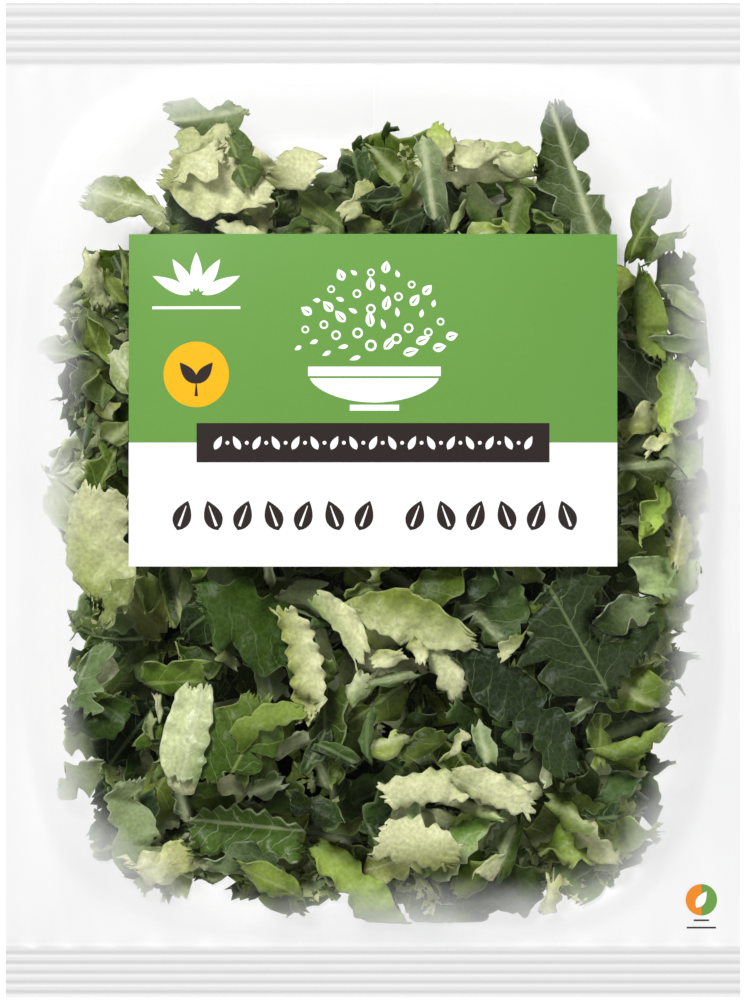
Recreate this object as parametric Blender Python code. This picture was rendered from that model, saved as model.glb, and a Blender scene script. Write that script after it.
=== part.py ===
"""A sealed clear-film bag of chopped cabbage greens, lying on its back.

Frame, in metres: +X is across the bag, +Y runs from its bottom seal to its top seal, and +Z is up, out of its
front face. The origin is at the middle of the bag's outline, on the surface that it lies on.

The bag is one web of film. It is wrapped into a flat tube, closed down its back by a fin seal that is folded
flat, and crimped across both ends. A label covers the middle of the front. The leaf pieces lie loose inside,
in layers that follow the film, so none of them touches another or the film.
"""
import math
import random
from typing import NamedTuple

import bmesh
import bpy

MM = 0.001

# Bag, flat outline and filled height
BAG_WIDTH = 210 * MM
BAG_LENGTH = 284 * MM
BAG_HEIGHT = 50 * MM
SEAM_HEIGHT = 15 * MM
FILM = 0.3 * MM
GAP = 0.3 * MM

# Crimped end seals
TOP_SEAL = 17 * MM
BOTTOM_SEAL = 14 * MM
SEAL_RIBS = 5
RIB_DEPTH = 0.35 * MM

# Fin seal down the back, folded towards +X
FIN_WIDTH = 11.5 * MM
FIN_THICKNESS = 0.6 * MM
FIN_NECK = 0.7 * MM
FIN_RAMP = 1.5 * MM

# Shape of the filled part
SIDE_MARGIN = 3 * MM
CORNER_POWER = 4.0
DOME_POWER = 3.0
DOME_FALL = 0.6
FLAT_BACK = 0.70
FRONT_COLUMNS = 18
BODY_ROWS = 18

# Label
LABEL_WIDTH = 138.6 * MM
LABEL_LENGTH = 94.3 * MM
LABEL_Y = 28.3 * MM
LABEL_THICKNESS = 0.3 * MM
LABEL_CELL = 7 * MM

# Leaf pieces
LEAF_CLEARANCE = 2.6 * MM
CLEARANCE_SHARE = 0.2
LEAF_STEPS = 9
LEAF_COLUMNS = 4
LEAF_SPACING = 0.8 * MM
LEAF_REACH = 0.95
PULL = 0.99
LAYERS = (0.91, 0.75, 0.59, 0.43, 0.27, 0.11)
CURL_SHARE = 0.045
THICKNESS_SHARE = 0.062
LOOSE_PIECES = 20
LOOSE_REACH = 0.66
LOOSE_TRIES = 4000
SEED = 7

HALF_WIDTH = BAG_WIDTH / 2
HALF_LENGTH = BAG_LENGTH / 2
FILLED_TOP = HALF_LENGTH - TOP_SEAL
FILLED_BOTTOM = -HALF_LENGTH + BOTTOM_SEAL
FILLED_Y = (FILLED_TOP + FILLED_BOTTOM) / 2
FRONT_RISE = BAG_HEIGHT - GAP - LABEL_THICKNESS - SEAM_HEIGHT - GAP / 2 - FILM
FIN_RECESS = FIN_THICKNESS + GAP


class Kind(NamedTuple):
    """How one kind of leaf piece is cut and coloured."""

    thickness: float
    rim: float
    teeth: int
    tooth_depth: float
    taper: float
    colour: tuple
    roughness: float


class Piece(NamedTuple):
    """One leaf piece: its kind, its middle in plan, its size in millimetres and its turn in degrees."""

    kind: str
    x: float
    y: float
    length: float
    width: float
    turn: float


KINDS = {
    "dark_leaf": Kind(3.0 * MM, 0.45, 5, 0.13, 0.55, (0.045, 0.095, 0.03, 1), 0.5),
    "mid_leaf": Kind(2.8 * MM, 0.45, 6, 0.14, 0.60, (0.12, 0.23, 0.05, 1), 0.5),
    "pale_leaf": Kind(2.8 * MM, 0.45, 5, 0.16, 0.60, (0.55, 0.60, 0.25, 1), 0.45),
    "grey_leaf": Kind(3.0 * MM, 0.45, 5, 0.12, 0.55, (0.19, 0.27, 0.16, 1), 0.6),
    "crinkle_strip": Kind(2.6 * MM, 0.55, 9, 0.20, 0.30, (0.50, 0.58, 0.25, 1), 0.45),
    "rib_slice": Kind(4.0 * MM, 0.60, 3, 0.07, 0.35, (0.75, 0.77, 0.58, 1), 0.4),
}

# The largest pieces that lie against the front film, clockwise from the top left
FRONT_PIECES = (
    Piece("grey_leaf", -46, 108, 22, 14, 8),
    Piece("pale_leaf", -43, 93, 31, 22, -12),
    Piece("crinkle_strip", -22, 94, 12, 10, 0),
    Piece("mid_leaf", 3, 96, 32, 19, 12),
    Piece("crinkle_strip", 29, 96, 32, 15, -5),
    Piece("grey_leaf", 62, 101, 44, 20, 108),
    Piece("mid_leaf", 80, 81, 24, 12, 62),
    Piece("rib_slice", -69, 86, 25, 11, -18),
    Piece("mid_leaf", 86, 55, 30, 19, 100),
    Piece("grey_leaf", 86, 31, 33, 12, -50),
    Piece("mid_leaf", 82, 3, 24, 14, 78),
    Piece("grey_leaf", -80, 43, 27, 15, 80),
    Piece("pale_leaf", -78, -13, 32, 17, 92),
    Piece("mid_leaf", -79, -57, 32, 16, 84),
    Piece("dark_leaf", -36, -38, 32, 19, -26),
    Piece("crinkle_strip", -19, -46, 33, 8, -78),
    Piece("pale_leaf", 9, -33, 42, 12, -14),
    Piece("rib_slice", -53, -66, 27, 12, 76),
    Piece("mid_leaf", -37, -69, 27, 18, 60),
    Piece("dark_leaf", 59, -37, 36, 29, -62),
    Piece("dark_leaf", 43, -58, 50, 12, -48),
    Piece("crinkle_strip", 24, -81, 42, 13, -4),
    Piece("pale_leaf", 13, -98, 23, 14, -14),
    Piece("pale_leaf", 66, -99, 34, 14, 6),
    Piece("mid_leaf", 73, -66, 22, 15, -42),
    Piece("crinkle_strip", -36, -95, 32, 11, -6),
    Piece("grey_leaf", -71, -95, 34, 13, 102),
    Piece("mid_leaf", -5, -109, 36, 11, -44),
    Piece("dark_leaf", 37, -111, 24, 15, 10),
    Piece("grey_leaf", -51, -98, 26, 18, 84),
)
LOOSE_KINDS = ("dark_leaf", "mid_leaf", "dark_leaf", "pale_leaf", "mid_leaf", "grey_leaf", "rib_slice")


def clear_scene():
    """Removes every object that is in the file."""
    for item in list(bpy.data.objects):
        bpy.data.objects.remove(item, do_unlink=True)


def material(name, colour, roughness, alpha=1.0):
    """A Principled material of one colour."""
    made = bpy.data.materials.new(name)
    made.use_nodes = True
    shader = made.node_tree.nodes["Principled BSDF"]
    shader.inputs["Base Color"].default_value = colour
    shader.inputs["Roughness"].default_value = roughness
    shader.inputs["Metallic"].default_value = 0.0
    shader.inputs["Alpha"].default_value = alpha
    return made


def add_object(name, bm, surface):
    """Makes a smooth-shaded object of a finished bmesh, with its faces pointing out."""
    bmesh.ops.recalc_face_normals(bm, faces=bm.faces)
    mesh = bpy.data.meshes.new(name)
    bm.to_mesh(mesh)
    bm.free()
    mesh.materials.append(surface)
    mesh.shade_smooth()
    mesh.set_sharp_from_angle(angle=math.radians(40))
    made = bpy.data.objects.new(name, mesh)
    bpy.context.scene.collection.objects.link(made)
    return made


def smooth(value):
    """A smooth step from 0 to 1."""
    clamped = min(max(value, 0.0), 1.0)
    return clamped * clamped * (3 - 2 * clamped)


def reach(x, y):
    """How far out a place in plan is: 0 in the middle of the filled part, 1 at its border."""
    across = abs(x) / (HALF_WIDTH - SIDE_MARGIN)
    along = abs(y - FILLED_Y) / (FILLED_TOP - FILLED_Y)
    return (across**CORNER_POWER + along**CORNER_POWER) ** (1 / CORNER_POWER)


def rib_wave(y):
    """The height of the crimped ribs, which is 0 outside the two seals."""
    if y > FILLED_TOP:
        phase = (y - FILLED_TOP) / TOP_SEAL
    elif y < FILLED_BOTTOM:
        phase = (FILLED_BOTTOM - y) / BOTTOM_SEAL
    else:
        return 0.0
    return RIB_DEPTH * math.sin(2 * math.pi * SEAL_RIBS * phase)


def front_height(x, y):
    """The height of the film's outer front face."""
    dome = max(1 - reach(x, y) ** DOME_POWER, 0.0) ** DOME_FALL
    return SEAM_HEIGHT + GAP / 2 + FILM + FRONT_RISE * dome + rib_wave(y)


def back_fullness(x, y):
    """1 where the back lies flat on the table, 0 where it meets the front."""
    return 1 - smooth((reach(x, y) - FLAT_BACK) / (1 - FLAT_BACK))


def back_height(x, y):
    """The height of the film's outer back face, without the fin's recess."""
    return (SEAM_HEIGHT - GAP / 2 - FILM) * (1 - back_fullness(x, y)) + rib_wave(y)


def fin_recess(x, y):
    """How far the back panel is lifted over the folded fin."""
    before = (x + FIN_RAMP) / FIN_RAMP
    after = (FIN_WIDTH + 2 * FIN_RAMP - x) / FIN_RAMP
    share = min(max(min(before, after), 0.0), 1.0)
    return FIN_RECESS * share * back_fullness(0, y)


def spread(count, half):
    """Places from -half to +half, closer together near both ends."""
    steps = [2 * i / (count - 1) - 1 for i in range(count)]
    return [half * (0.45 * s + 0.55 * math.sin(s * math.pi / 2)) for s in steps]


def back_columns(half):
    """The back's places across: the spread, with the fin's own edges in its middle."""
    fin_edges = [-FIN_RAMP, 0.0, FIN_NECK, FIN_WIDTH + FIN_RAMP, FIN_WIDTH + 2 * FIN_RAMP]
    clear = [x for x in spread(FRONT_COLUMNS, half) if not -2 * FIN_RAMP < x < FIN_WIDTH + 4 * FIN_RAMP]
    return sorted(clear + fin_edges)


def outer_ring(y):
    """The film's outer section at one place along the bag, with the folded fin on its back."""
    front = [(x, y, front_height(x, y)) for x in spread(FRONT_COLUMNS, HALF_WIDTH)]
    back = []
    for x in reversed(back_columns(HALF_WIDTH)):
        top = back_height(x, y) + fin_recess(x, y)
        back.append((x, y, top))
        if x == FIN_NECK:
            tip = back_height(FIN_WIDTH, y) + fin_recess(FIN_WIDTH, y)
            back.append((x, y, top - GAP))
            back.append((FIN_WIDTH, y, tip - GAP))
            back.append((FIN_WIDTH, y, tip - FIN_RECESS))
            back.append((0.0, y, top - FIN_RECESS))
    return front + back


def inner_ring(y):
    """The film's inner section, one film thickness inside the outer one."""
    half = HALF_WIDTH - FILM
    front = [(x, y, front_height(x, y) - FILM) for x in spread(FRONT_COLUMNS, half)]
    columns = reversed(back_columns(half))
    back = [(x, y, back_height(x, y) + fin_recess(x, y) + FILM) for x in columns]
    return front + back


def stations():
    """Places along the bag: two for each rib of a seal, and rows that crowd towards the seals between."""
    body = [FILLED_Y + place for place in spread(BODY_ROWS, FILLED_TOP - FILLED_Y)]
    steps = [(i + 1) / (4 * SEAL_RIBS) for i in range(4 * SEAL_RIBS) if i % 2 == 0]
    top = [FILLED_TOP + TOP_SEAL * step for step in steps]
    bottom = [FILLED_BOTTOM - BOTTOM_SEAL * step for step in reversed(steps)]
    return [-HALF_LENGTH] + bottom + body + top + [HALF_LENGTH]


def loft(bm, rings):
    """Joins closed rings of points with faces, and returns the edges of the first and last ring."""
    rows = [[bm.verts.new(point) for point in ring] for ring in rings]
    count = len(rings[0])
    for low, high in zip(rows, rows[1:]):
        for i in range(count):
            j = (i + 1) % count
            bm.faces.new((low[i], low[j], high[j], high[i]))
    ends = (rows[0], rows[-1])
    return [[bm.edges.get((row[i], row[(i + 1) % count])) for i in range(count)] for row in ends]


def make_film_bag():
    """The film as one closed wall: outer face, inner face and the cut edge at each end."""
    bm = bmesh.new()
    outer_ends = loft(bm, [outer_ring(y) for y in stations()])
    inner_ends = loft(bm, [inner_ring(y) for y in stations()])
    for outer, inner, way in zip(outer_ends, inner_ends, (-1, 1)):
        bmesh.ops.triangle_fill(bm, use_beauty=True, edges=outer + inner, normal=(0, way, 0))
    surface = material("clear_film", (0.93, 0.94, 0.94, 1), 0.2, alpha=0.3)
    return add_object("film_bag", bm, surface)


def slab(bm, low, high):
    """A closed slab between two grids of points with the same rows and columns."""
    grids = [[[bm.verts.new(point) for point in row] for row in grid] for grid in (low, high)]
    rows, columns = len(low), len(low[0])
    for grid in grids:
        for i in range(rows - 1):
            for j in range(columns - 1):
                bm.faces.new((grid[i][j], grid[i][j + 1], grid[i + 1][j + 1], grid[i + 1][j]))
    border = [(0, j) for j in range(columns)]
    border += [(i, columns - 1) for i in range(1, rows)]
    border += [(rows - 1, j) for j in reversed(range(columns - 1))]
    border += [(i, 0) for i in reversed(range(1, rows - 1))]
    for here, there in zip(border, border[1:] + border[:1]):
        a, b = (grids[0][i][j] for i, j in (here, there))
        c, d = (grids[1][i][j] for i, j in (there, here))
        bm.faces.new((a, b, c, d))


def make_front_label():
    """The label, a thin sheet that follows the front film a hair above it."""
    columns = round(LABEL_WIDTH / LABEL_CELL)
    rows = round(LABEL_LENGTH / LABEL_CELL)
    low = []
    for i in range(rows + 1):
        y = LABEL_Y + LABEL_LENGTH * (i / rows - 0.5)
        across = [LABEL_WIDTH * (j / columns - 0.5) for j in range(columns + 1)]
        low.append([(x, y, front_height(x, y) + GAP) for x in across])
    high = [[(x, y, z + LABEL_THICKNESS) for x, y, z in row] for row in low]
    bm = bmesh.new()
    slab(bm, low, high)
    return add_object("front_label", bm, material("label_print", (0.17, 0.39, 0.08, 1), 0.45))


def turned(x, y, degrees):
    """A place in plan turned about the origin."""
    angle = math.radians(degrees)
    return x * math.cos(angle) - y * math.sin(angle), x * math.sin(angle) + y * math.cos(angle)


def half_width_at(piece, step):
    """A piece's half width at a share of its length: full in the middle, narrower at both ends, toothed."""
    kind = KINDS[piece.kind]
    body = math.sin(math.pi * (0.12 + 0.76 * step)) ** kind.taper
    tooth = kind.tooth_depth * (1 if round(step * kind.teeth * 2) % 2 else -1)
    return piece.width / 2 * MM * body * (1 + tooth)


def footprint(piece):
    """Discs in plan that together cover a piece."""
    discs = []
    for i in range(LEAF_STEPS):
        step = i / (LEAF_STEPS - 1)
        dx, dy = turned((step - 0.5) * piece.length * MM, 0, piece.turn)
        radius = piece.width / 2 * MM + LEAF_SPACING / 2
        discs.append((piece.x * MM + dx, piece.y * MM + dy, radius))
    return discs


def outline_reach(piece):
    """How far out the outermost corner of a piece lies."""
    corners = [(a, b) for a in (-0.5, 0.5) for b in (-0.4, 0.4)]
    places = [turned(a * piece.length, b * piece.width, piece.turn) for a, b in corners]
    return max(reach((piece.x + dx) * MM, (piece.y + dy) * MM) for dx, dy in places)


def pulled_in(piece):
    """The piece, moved towards the middle of the bag until it has room between the films."""
    while outline_reach(piece) > LEAF_REACH:
        piece = piece._replace(x=piece.x * PULL, y=piece.y * PULL)
    return piece


def apart(discs, others):
    """True if no disc of one piece meets a disc of another."""
    return all(math.hypot(a - x, b - y) > r + s for a, b, r in discs for x, y, s in others)


def free_layer(discs, taken):
    """The layer nearest the front where a piece finds room, or None."""
    for layer in range(len(LAYERS)):
        if all(apart(discs, other) for other in taken[layer]):
            return layer
    return None


def inside_span(x, y):
    """The lowest and highest place for a leaf between the two films."""
    low = back_height(x, y) + fin_recess(x, y) + FILM
    high = front_height(x, y) - FILM
    clearance = min(LEAF_CLEARANCE, CLEARANCE_SHARE * (high - low))
    return low + clearance, high - clearance


def leaf_point(piece, layer, curl, i, j):
    """A place on a piece's middle surface and the half thickness of the piece there."""
    kind = KINDS[piece.kind]
    along, across = i / (LEAF_STEPS - 1), 2 * j / (LEAF_COLUMNS - 1) - 1
    offset = half_width_at(piece, along) * across
    dx, dy = turned((along - 0.5) * piece.length * MM, offset, piece.turn)
    x, y = piece.x * MM + dx, piece.y * MM + dy
    low, high = inside_span(x, y)
    wave = curl[0] * (2 * across**2 - 1) + curl[1] * math.sin(2 * math.pi * along + curl[2])
    middle = low + (high - low) * (LAYERS[layer] + CURL_SHARE * wave / 2)
    edge = kind.rim if i in (0, LEAF_STEPS - 1) or abs(across) == 1 else 1.0
    thick = min(kind.thickness, THICKNESS_SHARE * (high - low)) * edge
    return (x, y, middle), thick / 2


def make_leaf(name, piece, layer, curl):
    """One leaf piece as a thin curved slab with a toothed outline."""
    low, high = [], []
    for i in range(LEAF_STEPS):
        row = [leaf_point(piece, layer, curl, i, j) for j in range(LEAF_COLUMNS)]
        low.append([(x, y, z - half) for (x, y, z), half in row])
        high.append([(x, y, z + half) for (x, y, z), half in row])
    bm = bmesh.new()
    slab(bm, low, high)
    kind = KINDS[piece.kind]
    return add_object(name, bm, material(name, kind.colour, kind.roughness))


def loose_piece(chance):
    """A piece of any kind at a random place well inside the bag."""
    while True:
        x = chance.uniform(-1, 1) * HALF_WIDTH / MM
        y = chance.uniform(-1, 1) * HALF_LENGTH / MM
        if reach(x * MM, y * MM) < LOOSE_REACH:
            break
    kind = chance.choice(LOOSE_KINDS)
    length = chance.uniform(34, 48)
    width = length * chance.uniform(0.42, 0.62)
    return Piece(kind, x, y, length, width, chance.uniform(-90, 90))


def place_pieces(chance):
    """Every piece with its layer: those seen at the front first, then loose ones behind them."""
    taken = [[] for _ in LAYERS]
    placed = []
    for piece in map(pulled_in, FRONT_PIECES):
        layer = free_layer(footprint(piece), taken)
        taken[layer].append(footprint(piece))
        placed.append((piece, layer))
    for _ in range(LOOSE_TRIES):
        piece = loose_piece(chance)
        layer = free_layer(footprint(piece), taken)
        if layer is not None and len(placed) < len(FRONT_PIECES) + LOOSE_PIECES:
            taken[layer].append(footprint(piece))
            placed.append((piece, layer))
    return placed


def make_leaves():
    """All leaf pieces, named by their kind and numbered within it."""
    chance = random.Random(SEED)
    numbers = dict.fromkeys(KINDS, 0)
    for piece, layer in place_pieces(chance):
        numbers[piece.kind] += 1
        curl = (chance.uniform(-1, 1), chance.uniform(-1, 1), chance.uniform(0, math.tau))
        make_leaf(f"{piece.kind}_{numbers[piece.kind]:02d}", piece, layer, curl)


def main():
    """Builds the bag, its label and its leaf pieces."""
    clear_scene()
    make_film_bag()
    make_front_label()
    make_leaves()


main()
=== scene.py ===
"""The looks of a sealed clear-film bag of chopped cabbage greens, lying on its back.

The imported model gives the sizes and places. Around it this script builds the film as one folded and crimped
web, the printed label with its layers of print, and the leaf pieces: a fine one for each solid leaf of the
model, and about 1,500 more that fill the bag between and behind them.
"""

import logging
import math
from dataclasses import dataclass, field
from enum import Enum
from typing import Any, Iterable, Sequence

import bmesh
import bpy
import numpy as np
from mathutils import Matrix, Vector


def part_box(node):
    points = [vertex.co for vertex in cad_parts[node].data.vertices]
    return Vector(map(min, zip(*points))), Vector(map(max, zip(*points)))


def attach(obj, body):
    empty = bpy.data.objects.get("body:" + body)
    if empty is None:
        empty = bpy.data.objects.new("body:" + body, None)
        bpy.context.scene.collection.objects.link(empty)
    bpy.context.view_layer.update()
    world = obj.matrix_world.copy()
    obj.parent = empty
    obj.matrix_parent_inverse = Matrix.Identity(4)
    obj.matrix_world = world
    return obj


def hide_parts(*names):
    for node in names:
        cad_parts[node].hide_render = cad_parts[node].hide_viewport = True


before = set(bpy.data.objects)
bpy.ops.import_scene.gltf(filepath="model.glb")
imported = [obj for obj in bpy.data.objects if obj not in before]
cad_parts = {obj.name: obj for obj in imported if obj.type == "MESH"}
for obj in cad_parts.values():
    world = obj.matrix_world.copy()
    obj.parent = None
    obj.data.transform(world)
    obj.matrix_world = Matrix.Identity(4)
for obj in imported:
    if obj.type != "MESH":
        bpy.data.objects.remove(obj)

MM = 0.001
BODY = "root"
CELL_MAP = "OFBake"
log = logging.getLogger("greens")

Colour = tuple[float, float, float]
Point = tuple[float, float]
Place = tuple[float, float, float]
Grid = np.ndarray


class Kind(Enum):
    """The kinds of leaf piece, each named as its material slot."""

    DARK = "dark_leaf"
    MID = "mid_leaf"
    PALE = "pale_leaf"
    GREY = "grey_leaf"
    STRIP = "crinkle_strip"
    RIB = "rib_slice"


# Shader expressions


class Level:
    """A shader value that takes part in Python arithmetic."""

    def __init__(self, tree: bpy.types.NodeTree, socket: Any) -> None:
        """Wraps a socket, or a plain number, of one node tree."""
        self.tree = tree
        self.socket = socket

    def maths(self, operation: str, *others: Any, clamp: bool = False) -> "Level":
        """Adds one Math node.

        Args:
            operation: The Math node's operation.
            others: The further operands, as levels or numbers.
            clamp: Whether the result is held between 0 and 1.

        Returns:
            The node's result.
        """
        node = self.tree.nodes.new("ShaderNodeMath")
        node.operation = operation
        node.use_clamp = clamp
        for socket, operand in zip(node.inputs, (self, *others)):
            plug(self.tree, socket, operand)
        return Level(self.tree, node.outputs[0])

    def __add__(self, other: Any) -> "Level":
        """Adds."""
        return self.maths("ADD", other)

    def __radd__(self, other: Any) -> "Level":
        """Adds, with the number first."""
        return self.maths("ADD", other)

    def __sub__(self, other: Any) -> "Level":
        """Subtracts."""
        return self.maths("SUBTRACT", other)

    def __rsub__(self, other: Any) -> "Level":
        """Subtracts from a number."""
        return Level(self.tree, other).maths("SUBTRACT", self)

    def __mul__(self, other: Any) -> "Level":
        """Multiplies."""
        return self.maths("MULTIPLY", other)

    def __rmul__(self, other: Any) -> "Level":
        """Multiplies, with the number first."""
        return self.maths("MULTIPLY", other)

    def __truediv__(self, other: Any) -> "Level":
        """Divides."""
        return self.maths("DIVIDE", other)

    def __pow__(self, other: Any) -> "Level":
        """Raises to a power."""
        return self.maths("POWER", other)

    def __abs__(self) -> "Level":
        """Drops the sign."""
        return self.maths("ABSOLUTE")

    def held(self) -> "Level":
        """Holds the value between 0 and 1."""
        return self.maths("ADD", 0.0, clamp=True)

    def most(self, other: Any) -> "Level":
        """Takes the larger of two values."""
        return self.maths("MAXIMUM", other)

    def near_multiple(self, pitch: float) -> "Level":
        """Measures the distance to the nearest whole multiple of a pitch."""
        return self.maths("PINGPONG", pitch / 2)

    def step(self, low: float, high: float) -> "Level":
        """Rises smoothly from 0 at low to 1 at high, or falls if low is the larger.

        Args:
            low: Where the result is 0.
            high: Where the result is 1.

        Returns:
            The smooth step.
        """
        node = self.tree.nodes.new("ShaderNodeMapRange")
        node.interpolation_type = "SMOOTHSTEP"
        plug(self.tree, node.inputs["Value"], self)
        node.inputs["From Min"].default_value = min(low, high)
        node.inputs["From Max"].default_value = max(low, high)
        node.inputs["To Min"].default_value = 0.0 if low < high else 1.0
        node.inputs["To Max"].default_value = 1.0 if low < high else 0.0
        return Level(self.tree, node.outputs["Result"])


def plug(tree: bpy.types.NodeTree, socket: Any, value: Any) -> None:
    """Links a level or an output to a socket, or sets the socket to a plain value."""
    if isinstance(value, Level):
        value = value.socket
    if isinstance(value, bpy.types.NodeSocket):
        tree.links.new(value, socket)
    else:
        socket.default_value = value


class Paint:
    """A material under construction, with its Principled shader."""

    def __init__(self, name: str) -> None:
        """Starts a material with a bare Principled shader."""
        self.material = bpy.data.materials.new(name)
        self.material.use_nodes = True
        self.tree = self.material.node_tree
        self.shader = self.tree.nodes["Principled BSDF"]

    def node(self, kind: str, settings: dict[str, Any], **inputs: Any) -> Any:
        """Adds any node.

        Args:
            kind: The node's type, without its ShaderNode prefix.
            settings: The node's own properties, set before its sockets.
            inputs: The values or links of its sockets, with _ for a space in a name.

        Returns:
            The node.
        """
        made = self.tree.nodes.new("ShaderNode" + kind)
        for name, value in settings.items():
            setattr(made, name, value)
        for name, value in inputs.items():
            plug(self.tree, made.inputs[name.replace("_", " ")], value)
        return made

    def split(self, vector: Any) -> tuple[Level, Level, Level]:
        """Splits a vector into its three levels."""
        parts = self.node("SeparateXYZ", {}, Vector=vector).outputs
        return Level(self.tree, parts[0]), Level(self.tree, parts[1]), Level(self.tree, parts[2])

    def object_place(self) -> Any:
        """The place on the object, in metres."""
        return self.node("TexCoord", {}).outputs["Object"]

    def attribute(self, name: str) -> Any:
        """The node that reads one of the mesh's attributes."""
        return self.node("Attribute", {"attribute_name": name})

    def noise(self, vector: Any, scale: float, detail: float = 2.0) -> Level:
        """Soft noise from 0 to 1 around 0.5."""
        made = self.node("TexNoise", {}, Vector=vector, Scale=scale, Detail=detail)
        return Level(self.tree, made.outputs["Fac"])

    def cells(self, vector: Any, scale: float) -> Level:
        """The distance to the nearest wall of a net of cells."""
        settings = {"feature": "DISTANCE_TO_EDGE"}
        made = self.node("TexVoronoi", settings, Vector=vector, Scale=scale)
        return Level(self.tree, made.outputs["Distance"])

    def mix(self, share: Any, one: Any, other: Any) -> Any:
        """Mixes two colours by a share from 0 to 1."""
        made = self.tree.nodes.new("ShaderNodeMix")
        made.data_type = "RGBA"
        plug(self.tree, made.inputs[0], share)
        plug(self.tree, made.inputs[6], one)
        plug(self.tree, made.inputs[7], other)
        return made.outputs[2]

    def scaled(self, colour: Any, level: Level) -> Any:
        """Scales a colour by a level."""
        made = self.node("VectorMath", {"operation": "SCALE"}, Vector=colour, Scale=level)
        return made.outputs["Vector"]

    def bump(self, height: Level, strength: float, depth: float) -> None:
        """Feeds the shader's normal from a height.

        Args:
            height: The height, about 0 to 1.
            strength: The bump's strength.
            depth: What a height of 1 stands for, in metres.
        """
        made = self.node("Bump", {}, Height=height, Strength=strength, Distance=depth)
        self.tree.links.new(made.outputs["Normal"], self.shader.inputs["Normal"])

    def dress(self, **inputs: Any) -> bpy.types.Material:
        """Sets the shader's own sockets and returns the material."""
        for name, value in inputs.items():
            plug(self.tree, self.shader.inputs[name.replace("_", " ")], value)
        return self.material


def opaque(colour: Colour) -> tuple[float, float, float, float]:
    """A colour with full alpha."""
    return (*colour, 1.0)


def grey(level: float) -> tuple[float, float, float, float]:
    """A plain grey with full alpha."""
    return opaque((level, level, level))


# Finishes


@dataclass(frozen=True)
class LeafFinish:
    """The blade of a cabbage leaf: mottled, with a midrib, side veins and a fine net between them."""

    kind: Kind
    vein: Colour
    vein_share: float
    net_share: float
    roughness: float
    shine: float
    side_pitch: float = 6.5
    side_slant: float = 0.85
    side_reach: float = 19.0
    net_scale: float = 0.42
    rim_share: float = 0.7
    relief: float = 0.35 * MM

    def material(self) -> bpy.types.Material:
        """Builds the material from the leaf's own attributes."""
        paint = Paint(self.kind.value)
        tint = paint.attribute("tint").outputs["Color"]
        place = paint.attribute("place").outputs["Vector"]
        rim = Level(paint.tree, paint.attribute("rim").outputs["Fac"])
        along, across, _ = paint.split(place)
        drift = paint.noise(place, 0.16) - 0.5
        mottle = paint.noise(place, 0.9, 4.0)
        slant = along - abs(across) * self.side_slant + drift * 7.0
        side = slant.near_multiple(self.side_pitch).step(0.30, 0.04) * abs(across).step(self.side_reach, 1.0)
        midrib = (abs(across) + drift * 0.9).step(0.75, 0.15)
        net = paint.cells(place, self.net_scale).step(0.075, 0.0)
        veins = midrib.most(side * 0.85).most(net * self.net_share)
        body = paint.scaled(tint, mottle * 0.9 + 0.55)
        veined = paint.mix(veins * self.vein_share, body, opaque(self.vein))
        edged = paint.mix((rim**3.0) * self.rim_share, veined, opaque(self.vein))
        blister = paint.cells(place, self.net_scale).step(0.0, 0.42)
        paint.bump(blister * 0.7 + mottle * 0.35 - side * 0.6 - midrib * 0.5, 0.4, self.relief)
        dull = mottle * 0.22 + (self.roughness - 0.11)
        return paint.dress(Base_Color=edged, Roughness=dull, Specular_IOR_Level=self.shine)


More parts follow.
